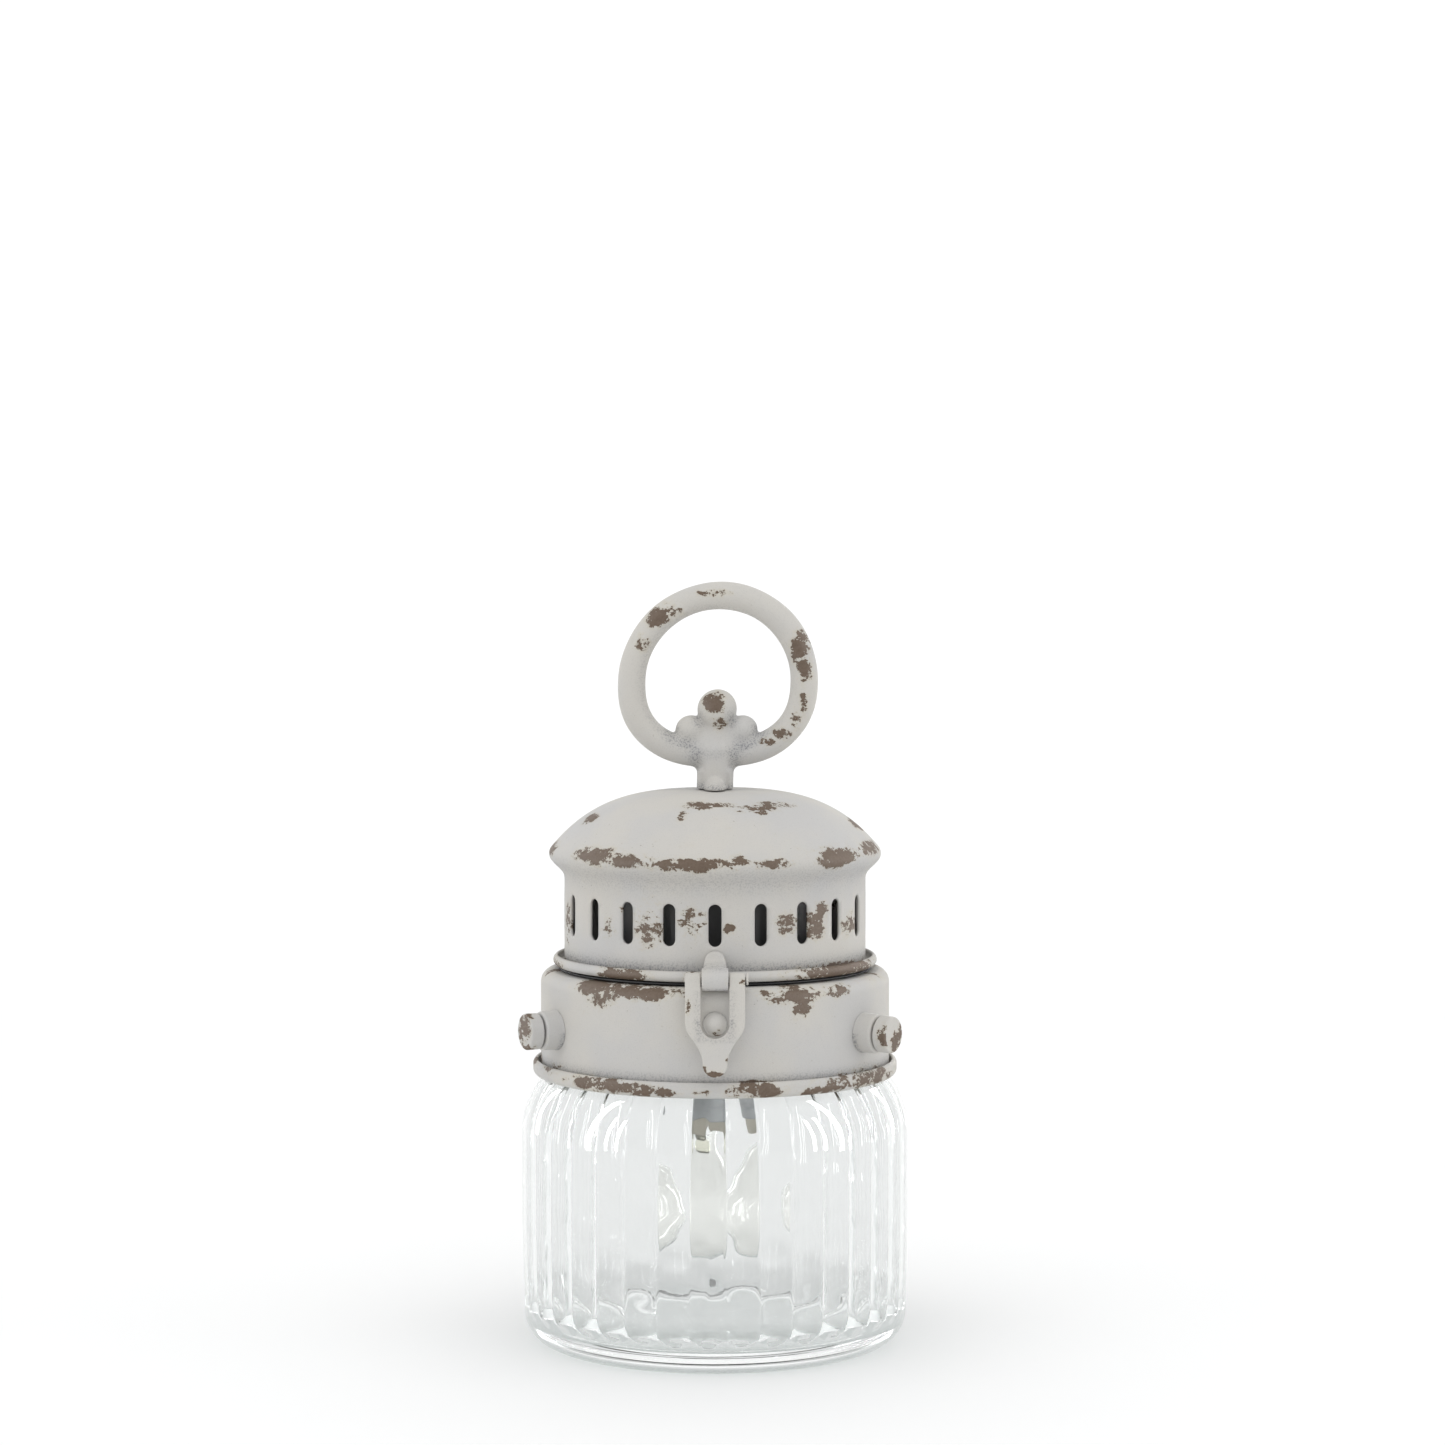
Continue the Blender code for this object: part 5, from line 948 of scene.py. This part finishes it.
def lug_distance(points):
    """Distance to the lug: a knuckle round the pin, and a strap that rises from it over the bead
    and lies against the lid's wall, on a block that fills the corner."""
    knuckle = bar_distance(points, -PIN_OUT, PIN_LEVEL, 3.4, -3.95, 3.95, 0.5)
    strap_path = np.array([(-53.2, 119.6), (-51.4, 120.9), (-49.6, 121.8), (-48.3, 123.2), (-47.6, 125.2)])
    lean = to_path(points[:, 1:], strap_path) - 0.35
    round_top = np.hypot(points[:, 0], np.maximum(points[:, 2] - 122.6, 0.0)) - 2.6
    strap = meet(lean, round_top) - 0.5
    gap = np.abs(points - (0.0, -49.3, 120.9)) - (2.4, 1.8, 0.4)
    block = meet(meet(gap[:, 0], gap[:, 1]), gap[:, 2]) - 0.6
    skin = soft_union(soft_union(knuckle, strap, 0.9), block, 1.6)
    return np.maximum(skin, LID_WALL + 0.25 - np.hypot(points[:, 0], points[:, 1]))


lug = skin_of("lug_knuckle", lug_distance, (-4.6, -59.0, 114.2), (4.6, -46.2, 127.0), 0.24,
              rubbed_paint("lug_paint", (0.4, 0.1, 0.27)))
points = item_points(lug)
rub = worn_spots(points, [
    (3.2, 117.4, 0.5, 1.0, 0.7), (3.3, 123.2, 0.5, 0.5, 0.7), (-1.0, 114.9, 2.0, 0.4, 0.3)], False)
# Painted shade under the knuckle and in the corner over the bead.
set_wear(lug, rub, 0.7 * bell(points[:, 2], 114.9, 0.5) + 0.4 * bell(points[:, 2], 121.6, 0.7))
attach(lug, "lid")
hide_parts("latch_lug")


def pin_distance(points):
    """Distance to the pin and its rivet head."""
    shank = bar_distance(points, -PIN_OUT, PIN_LEVEL, 0.75, -9.1, 9.5, 0.2)
    head = bar_distance(points, -PIN_OUT, PIN_LEVEL, 1.8, 9.2, 9.9, 0.3)
    return np.minimum(shank, head)


pin = skin_of("pin_rod", pin_distance, (-9.5, -57.0, 116.0), (10.3, -52.6, 120.4), 0.2,
              rubbed_paint("pin_paint", (0.4, 0.6, 0.27)))
points = item_points(pin)
set_wear(pin, 0.35 * (points[:, 0] > 9.7), 0.0 * points[:, 0])
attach(pin, "lid")
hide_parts("latch_pin")


def stud_distance(points):
    """Distance to the ball stud: a ball on a short neck whose foot lies on the collar's curve."""
    ball = np.sqrt(np.sum((points - (0.0, -STUD_OUT, STUD_LEVEL)) ** 2, axis=1)) - STUD_RADIUS
    wall = np.hypot(points[:, 0], points[:, 1]) - COLLAR_RADIUS - 0.05
    foot = np.hypot(np.hypot(points[:, 0], points[:, 2] - STUD_LEVEL) - 3.2, wall) - 0.35
    return np.maximum(soft_union(ball, foot, 0.8), -wall)


stud = skin_of("stud_ball", stud_distance, (-4.4, -58.6, 100.4), (4.4, -53.0, 109.2), 0.24,
               rubbed_paint("stud_paint", (0.14, 0.26, 0.57)))
points = item_points(stud)
rub = worn_spots(points, [
    (0.9, 103.3, 0.5, 0.4, 0.75), (-0.2, 102.6, 0.5, 0.5, 0.75), (1.2, 101.6, 1.2, 0.3, 0.5)], False)
# Painted shade on the back of the ball and its neck, next to the collar.
set_wear(stud, rub, 0.8 * np.clip(points[:, 1] + 55.2, 0.0, 1.0))
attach(stud, "root")
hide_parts("latch_stud")

# ---- Hinge: a leaf riveted to the collar, a leaf spot welded to the lid, knuckles round one pin --
# Both are pressed from the same tin as the rest and painted with it. The outer knuckles belong to
# the collar's leaf, the middle one to the lid's.

HINGE_OUT = 57.0
HINGE_LEVEL = 118.5
HINGE_BORE = 1.15
HINGE_KNUCKLE = 2.6
HINGE_INNER = 3.0
HINGE_ARM = 3.35
HINGE_OUTER = 8.05
HINGE_FOOT = 106.0
HINGE_STEP = 112.5
LEAF_BACK = 54.45
TAB_TOP = 126.0
STRAP_UNDER = 120.12


def rounded_slab(points, half_width, low, high, corner, near, far, edge):
    """Distance to an upright slab: width across, rounded corners, and a depth between two values."""
    side = np.abs(points[:, 0]) - (half_width - corner)
    rise = np.abs(points[:, 2] - (low + high) / 2.0) - ((high - low) / 2.0 - corner)
    deep = np.abs(points[:, 1] - (near + far) / 2.0) - ((far - near) / 2.0 - edge)
    return meet(meet(side, rise) - corner + edge, deep) - edge


def to_pin(points):
    """Distance from points to the hinge's axis."""
    return np.hypot(points[:, 1] - HINGE_OUT, points[:, 2] - HINGE_LEVEL)


def collar_leaf_distance(points):
    """Distance to the collar's leaf: slab, two knuckles, two rivet heads, notch and bore."""
    fold = points.copy()
    fold[:, 0] = np.abs(fold[:, 0])
    slab = rounded_slab(points, HINGE_OUTER - 0.1, HINGE_FOOT, HINGE_LEVEL + 2.0, 2.2, 52.0, 55.7, 0.35)
    slab = np.maximum(slab, points[:, 2] - HINGE_LEVEL)
    upper = np.maximum(LEAF_BACK - points[:, 1], HINGE_STEP - points[:, 2])
    slab = np.where((points[:, 2] > HINGE_STEP) & (points[:, 1] < LEAF_BACK), np.maximum(slab, upper), slab)
    knuckle = bar_distance(fold, HINGE_OUT, HINGE_LEVEL, HINGE_KNUCKLE, HINGE_ARM, HINGE_OUTER, 0.35)
    rivet = egg(fold, (4.6, 55.6, 109.6), (1.5, 0.9, 1.5))
    skin = soft_union(soft_union(slab, knuckle, 0.7), rivet, 0.25)
    skin = np.maximum(skin, COLLAR_RADIUS + 0.07 - np.hypot(points[:, 0], points[:, 1]))
    notch = np.maximum(fold[:, 0] - HINGE_ARM, HINGE_LEVEL - HINGE_KNUCKLE - 0.7 - points[:, 2])
    return np.maximum(np.maximum(skin, -notch), HINGE_BORE - to_pin(points))


def lid_leaf_distance(points):
    """Distance to the lid's leaf: a curved tab on the wall, a strap over the bead, two weld marks and a
    knuckle."""
    reach = np.hypot(points[:, 0], points[:, 1])
    curled = np.stack([np.arctan2(points[:, 0], points[:, 1]) * 47.5, reach, points[:, 2]], axis=-1)
    tab = rounded_slab(curled, HINGE_OUTER, HINGE_LEVEL + 1.6, TAB_TOP, 1.6, 46.4, 48.0, 0.35)
    strap = rounded_slab(points, HINGE_INNER - 0.1, STRAP_UNDER, 121.05, 0.3, 47.0, HINGE_OUT - 0.4, 0.25)
    knuckle = bar_distance(points, HINGE_OUT, HINGE_LEVEL, HINGE_KNUCKLE, -HINGE_INNER, HINGE_INNER, 0.35)
    curled[:, 0] = np.abs(curled[:, 0])
    weld = egg(curled, (5.2, 48.0, 123.6), (1.2, 0.35, 1.2))
    skin = soft_union(soft_union(soft_union(tab, strap, 0.5), knuckle, 0.4), weld, 0.4)
    skin = np.maximum(skin, 47.0 - reach)
    skin = np.maximum(skin, np.where(reach < 52.0, STRAP_UNDER - points[:, 2], -9.0))
    return np.maximum(skin, HINGE_BORE - to_pin(points))


hinge_paint = rubbed_paint("hinge_paint", (0.5, 0.2, 0.33))
for name, distance, low, high, body, node in (
        ("hinge_leaf_collar", collar_leaf_distance, (-8.7, 52.0, 105.4), (8.7, 60.3, 121.7), "root",
         "hinge_collar_leaf"),
        ("hinge_leaf_lid", lid_leaf_distance, (-8.7, 45.0, 115.3), (8.7, 60.3, 126.7), "lid",
         "hinge_lid_leaf")):
    leaf = skin_of(name, distance, low, high, 0.26, hinge_paint)
    side, reach, level = item_points(leaf).T
    edges = 0.9 * bell(np.abs(side), 7.9, 0.5) * bell(level, 112.0, 2.5)
    knuckles = 0.85 * bell(reach, 59.6, 0.5) * bell(side, 2.0, 4.0)
    rivets = 0.9 * bell(np.abs(side), 4.6, 0.8) * bell(level, 109.6, 0.8) * (reach > 56.0)
    # Painted shade where the leaves lie against the collar and under the lid leaf's strap.
    set_wear(leaf, np.maximum(np.maximum(edges, knuckles), rivets),
             0.8 * bell(reach, 54.3, 0.5) + 0.5 * bell(level, 120.2, 0.5))
    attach(leaf, body)
    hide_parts(node)

# ---- Lamp: plated sleeve under the plate, ivory insert, clear bulb and the LED on its stem ----
# Seen through the ribbed glass. The sleeve and the bulb are turned pieces, the bulb drawn thin.

PLATE_LEVEL = 115.4
PLATE_RADIUS = 48.6
PLATE_SHEET = 0.7
SLEEVE_FLANGE = 11.0
BULB_RADIUS = 16.8
BULB_NECK = 4.6
BULB_FOOT = 25.1
BULB_WALL = 0.5
LED_RADIUS = 2.5
TUBE_COLUMNS = 96
BULB_COLUMNS = 128
LED_COLUMNS = 72
PLATE_COLUMNS = 240

# For each kind: metallic, stretch and detail of the grain, scale, roughness and limits of the dull
# clouds, their share of the colour, the swing of the roughness, and the bump's strength and depth.
GRAINS = {
    "brushed": (1.0, 6.0, 4.0, 160.0, 0.55, (0.45, 0.75), 0.62, 0.30, 0.35, 0.00005),
    "moulded": (0.0, 1.0, 3.0, 90.0, 0.5, (0.4, 0.7), 0.8, 0.25, 0.3, 0.00004)}


def grained(kind, name, colour, roughness, scale):
    """Brushed metal or moulded plastic: fine uneven roughness, dull clouds and a light grain."""
    metallic, stretch, detail, cloud_scale, cloud_rough, limits, dull, swing, strength, depth = GRAINS[kind]
    material = new_material(name, {"Base Color": colour, "Roughness": roughness, "Metallic": metallic})
    tree = material.node_tree
    grain = noise(tree, own_place(tree, {"Scale": (1.0, 1.0, stretch)}), scale, detail, 0.6)
    cloud = noise(tree, own_place(tree, {}), cloud_scale, 3.0, cloud_rough)
    dull_colour = tuple(dull * value for value in colour)
    set_inputs(tree.nodes["Principled BSDF"], {
        "Base Color": mix_colour(tree, smooth_step(tree, cloud, *limits), colour, dull_colour),
        "Roughness": math_node(tree, "MULTIPLY_ADD", grain, swing, roughness - 0.4 * swing),
        "Normal": bump(tree, grain, strength, depth)})
    return material


zinc = grained("brushed", "zinc_plate", (0.31, 0.32, 0.325), 0.34, 900.0)
sleeve = turned_ring("sleeve_tube", [
    (3.2, 121.5), (3.2, 112.1), (6.8, 112.1), (6.8, 68.9), (6.95, 68.5), (7.35, 68.5), (7.5, 68.8),
    (7.5, 90.0), (7.5, 112.9), (7.7, 113.6), (8.5, 114.05), (SLEEVE_FLANGE - 0.3, 114.1),
    (SLEEVE_FLANGE, 114.3), (SLEEVE_FLANGE, 114.9), (SLEEVE_FLANGE - 0.2, 115.1), (4.9, 115.1),
    (4.9, 121.1), (4.5, 121.5)], TUBE_COLUMNS, zinc)
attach(sleeve, "root")
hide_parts("lampholder_sleeve")

ivory = grained("moulded", "ivory_insert", (0.49, 0.45, 0.37), 0.45, 1600.0)
insert = turned_ring("insert_cup", [
    (5.7, 90.2), (5.7, 64.4), (5.8, 64.2), (6.2, 64.2), (6.5, 64.5), (6.5, 90.0), (6.3, 90.2)],
    TUBE_COLUMNS, ivory)
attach(insert, "root")
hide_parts("lampholder_insert")

bulb_clear = clear_glass("bulb_clear", (0.994, 0.994, 0.978), 0.0, 1.40)
bulb_upper = bezier((BULB_NECK, 64.2), (BULB_NECK, 53.6), (BULB_RADIUS, 50.1), (BULB_RADIUS, 39.0), 40)
bulb_lower = bezier((BULB_RADIUS, 39.0), (BULB_RADIUS, 31.4), (9.4, BULB_FOOT), (0.05, BULB_FOOT), 40)
bulb_outer = even_path(np.concatenate([[(BULB_NECK, 71.5)], bulb_upper, bulb_lower[1:]]), 0.8)
bulb_inner = bulb_outer + BULB_WALL * right_of(bulb_outer)
bulb_path = np.concatenate([bulb_outer[::-1], [(4.2, 71.9)], bulb_inner[bulb_inner[:, 0] > 0.05]])
bulb = turned_solid("bulb_envelope", spin(bulb_path[:, :1], bulb_path[:, 1:], full_turn(BULB_COLUMNS)),
                    (0.0, 0.0, BULB_FOOT), (0.0, 0.0, BULB_FOOT + BULB_WALL), bulb_clear)
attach(bulb, "root")
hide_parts("bulb_glass")

led_epoxy = clear_glass("led_epoxy", (0.93, 0.92, 0.80), 0.12, 1.45)
led_path = even_path(np.concatenate([
    [(3.2, 70.0), (3.5, 69.7), (3.5, 64.2), (3.2, 63.4), (2.9, 62.7), (LED_RADIUS, 62.4), (LED_RADIUS, 59.5)],
    arc_points((0.0, 59.5), LED_RADIUS, 0.0, -84.0, 14)[1:]]), 0.35)[::-1]
led = turned_solid("led_dome", spin(led_path[:, :1], led_path[:, 1:], full_turn(LED_COLUMNS)),
                   (0.0, 0.0, 59.5 - LED_RADIUS), (0.0, 0.0, 70.0), led_epoxy)
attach(led, "root")
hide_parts("led_stem")

tin = grained("brushed", "dark_tin", (0.042, 0.042, 0.043), 0.6, 600.0)
plate = turned_ring("plate_disc", [
    (5.2, PLATE_LEVEL + 0.1), (5.3, PLATE_LEVEL), (20.0, PLATE_LEVEL), (PLATE_RADIUS - 0.2, PLATE_LEVEL),
    (PLATE_RADIUS, PLATE_LEVEL + 0.2), (PLATE_RADIUS, PLATE_LEVEL + PLATE_SHEET - 0.2),
    (PLATE_RADIUS - 0.2, PLATE_LEVEL + PLATE_SHEET), (20.0, PLATE_LEVEL + PLATE_SHEET),
    (5.3, PLATE_LEVEL + PLATE_SHEET), (5.2, PLATE_LEVEL + PLATE_SHEET - 0.1)], PLATE_COLUMNS, tin)
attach(plate, "root")
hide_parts("lamp_plate")

# ---- Battery case: round moulded box screwed up through the plate, and its cover screwed on ----
# Black plastic with straight walls. Openings and bosses are the solids' own, and only the outer walls
# are turned again in finer steps, so that they catch the light as one smooth round.

CASE_RADIUS = 32.0
CASE_LOW = 116.4
CASE_HIGH = 138.9
COVER_LOW = 139.2
COVER_HIGH = 141.0
COVER_EDGE = 0.6
CASE_CUTS = 4
SAME_PLACE = 0.02
black = grained("moulded", "black_plastic", (0.13, 0.13, 0.13), 0.5, 1800.0)


def ease_edges(item):
    """Small bevel where an edge would otherwise be knife sharp."""
    edge = item.modifiers.new("edge", "BEVEL")
    edge.width = 0.25 * MM
    edge.segments = 2
    edge.limit_method = "ANGLE"
    edge.angle_limit = math.radians(40.0)
    edge.harden_normals = True


def finer_wall(name, node, circles):
    """Copy of a turned CAD piece whose outer wall is rebuilt. The wall's faces between the first and the
    last of the given circles of radius and height are taken out, the two open edges are cut into
    shorter steps and pushed out to their radius, and rings at the circles between join them again."""
    shape = bmesh.new()
    shape.from_mesh(bpy.data.objects[node].data)
    bmesh.ops.remove_doubles(shape, verts=shape.verts, dist=0.01 * MM)

    def in_wall(face):
        """True if a face's corners all lie on the circles, and on more than one of them."""
        places = np.array([(math.hypot(*vertex.co.xy), vertex.co.z) for vertex in face.verts]) / MM
        on = np.abs(places[:, None] - circles).max(axis=2) < SAME_PLACE
        return on.any(axis=1).all() and on.any(axis=0).sum() > 1

    bmesh.ops.delete(shape, geom=[face for face in shape.faces if in_wall(face)], context="FACES")
    bmesh.ops.bisect_edges(shape, edges=[edge for edge in shape.edges if edge.is_boundary], cuts=CASE_CUTS)
    rings = []
    for radius, height in circles:
        ring = [vertex for vertex in shape.verts
                if vertex.is_boundary and abs(vertex.co.z / MM - height) < SAME_PLACE]
        if not ring:
            ring = [shape.verts.new((*vertex.co.xy, height * MM)) for vertex in rings[0]]
        ring.sort(key=lambda vertex: math.atan2(vertex.co.y, vertex.co.x))
        for vertex in ring:
            vertex.co.xy *= radius * MM / math.hypot(*vertex.co.xy)
        rings.append(ring)
    for low, high in zip(rings, rings[1:]):
        for corners in zip(low, low[1:] + low[:1], high[1:] + high[:1], high):
            shape.faces.new(corners)
    mesh = bpy.data.meshes.new(name)
    shape.to_mesh(mesh)
    shape.free()
    item = add_piece(name, mesh, black)
    mesh.set_sharp_from_angle(angle=math.radians(35.0))
    ease_edges(item)
    return item


case = finer_wall("case_box", "battery_box", [(CASE_RADIUS, CASE_LOW), (CASE_RADIUS, CASE_HIGH)])
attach(case, "root")
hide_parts("battery_box")

cover = finer_wall("case_cover", "battery_cover", [
    (CASE_RADIUS, COVER_LOW), (CASE_RADIUS, COVER_HIGH - COVER_EDGE), (CASE_RADIUS - COVER_EDGE, COVER_HIGH)])
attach(cover, "root")
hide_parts("battery_cover")

# ---- Pieces that keep their CAD shape: fixings, the hinge's pin, and what the battery case holds --
# Turned or stamped metal, moulded plastic and a green board. Each gets its own finish, and a small
# bevel on its edges.

brass = grained("brushed", "nickel_brass", (0.66, 0.60, 0.45), 0.30, 700.0)
jacket = grained("moulded", "cell_jacket", (0.07, 0.085, 0.12), 0.32, 700.0)
green = grained("moulded", "board_green", (0.022, 0.14, 0.055), 0.38, 1100.0)
for finish, nodes in (
        (brass, ("bulb_cap",)),
        (zinc, ("lampholder_nut", "hinge_pin", "handle_washer", "handle_nut", "box_screw_left",
                "box_screw_right", "cover_screw", "contact_strip_left", "contact_strip_right")),
        (tin, ("plate_rivet_1", "plate_rivet_2", "plate_rivet_3")),
        (black, ("switch_body", "switch_slider")),
        (jacket, ("battery_cell_1", "battery_cell_2", "battery_cell_3")),
        (green, ("timer_board",))):
    for node in nodes:
        item = bpy.data.objects[node]
        item.material_slots[0].material = finish
        ease_edges(item)

size = {"cad": [list(map(float, v)) for v in cad_box], "visual": [list(map(float, v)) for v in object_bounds()]}
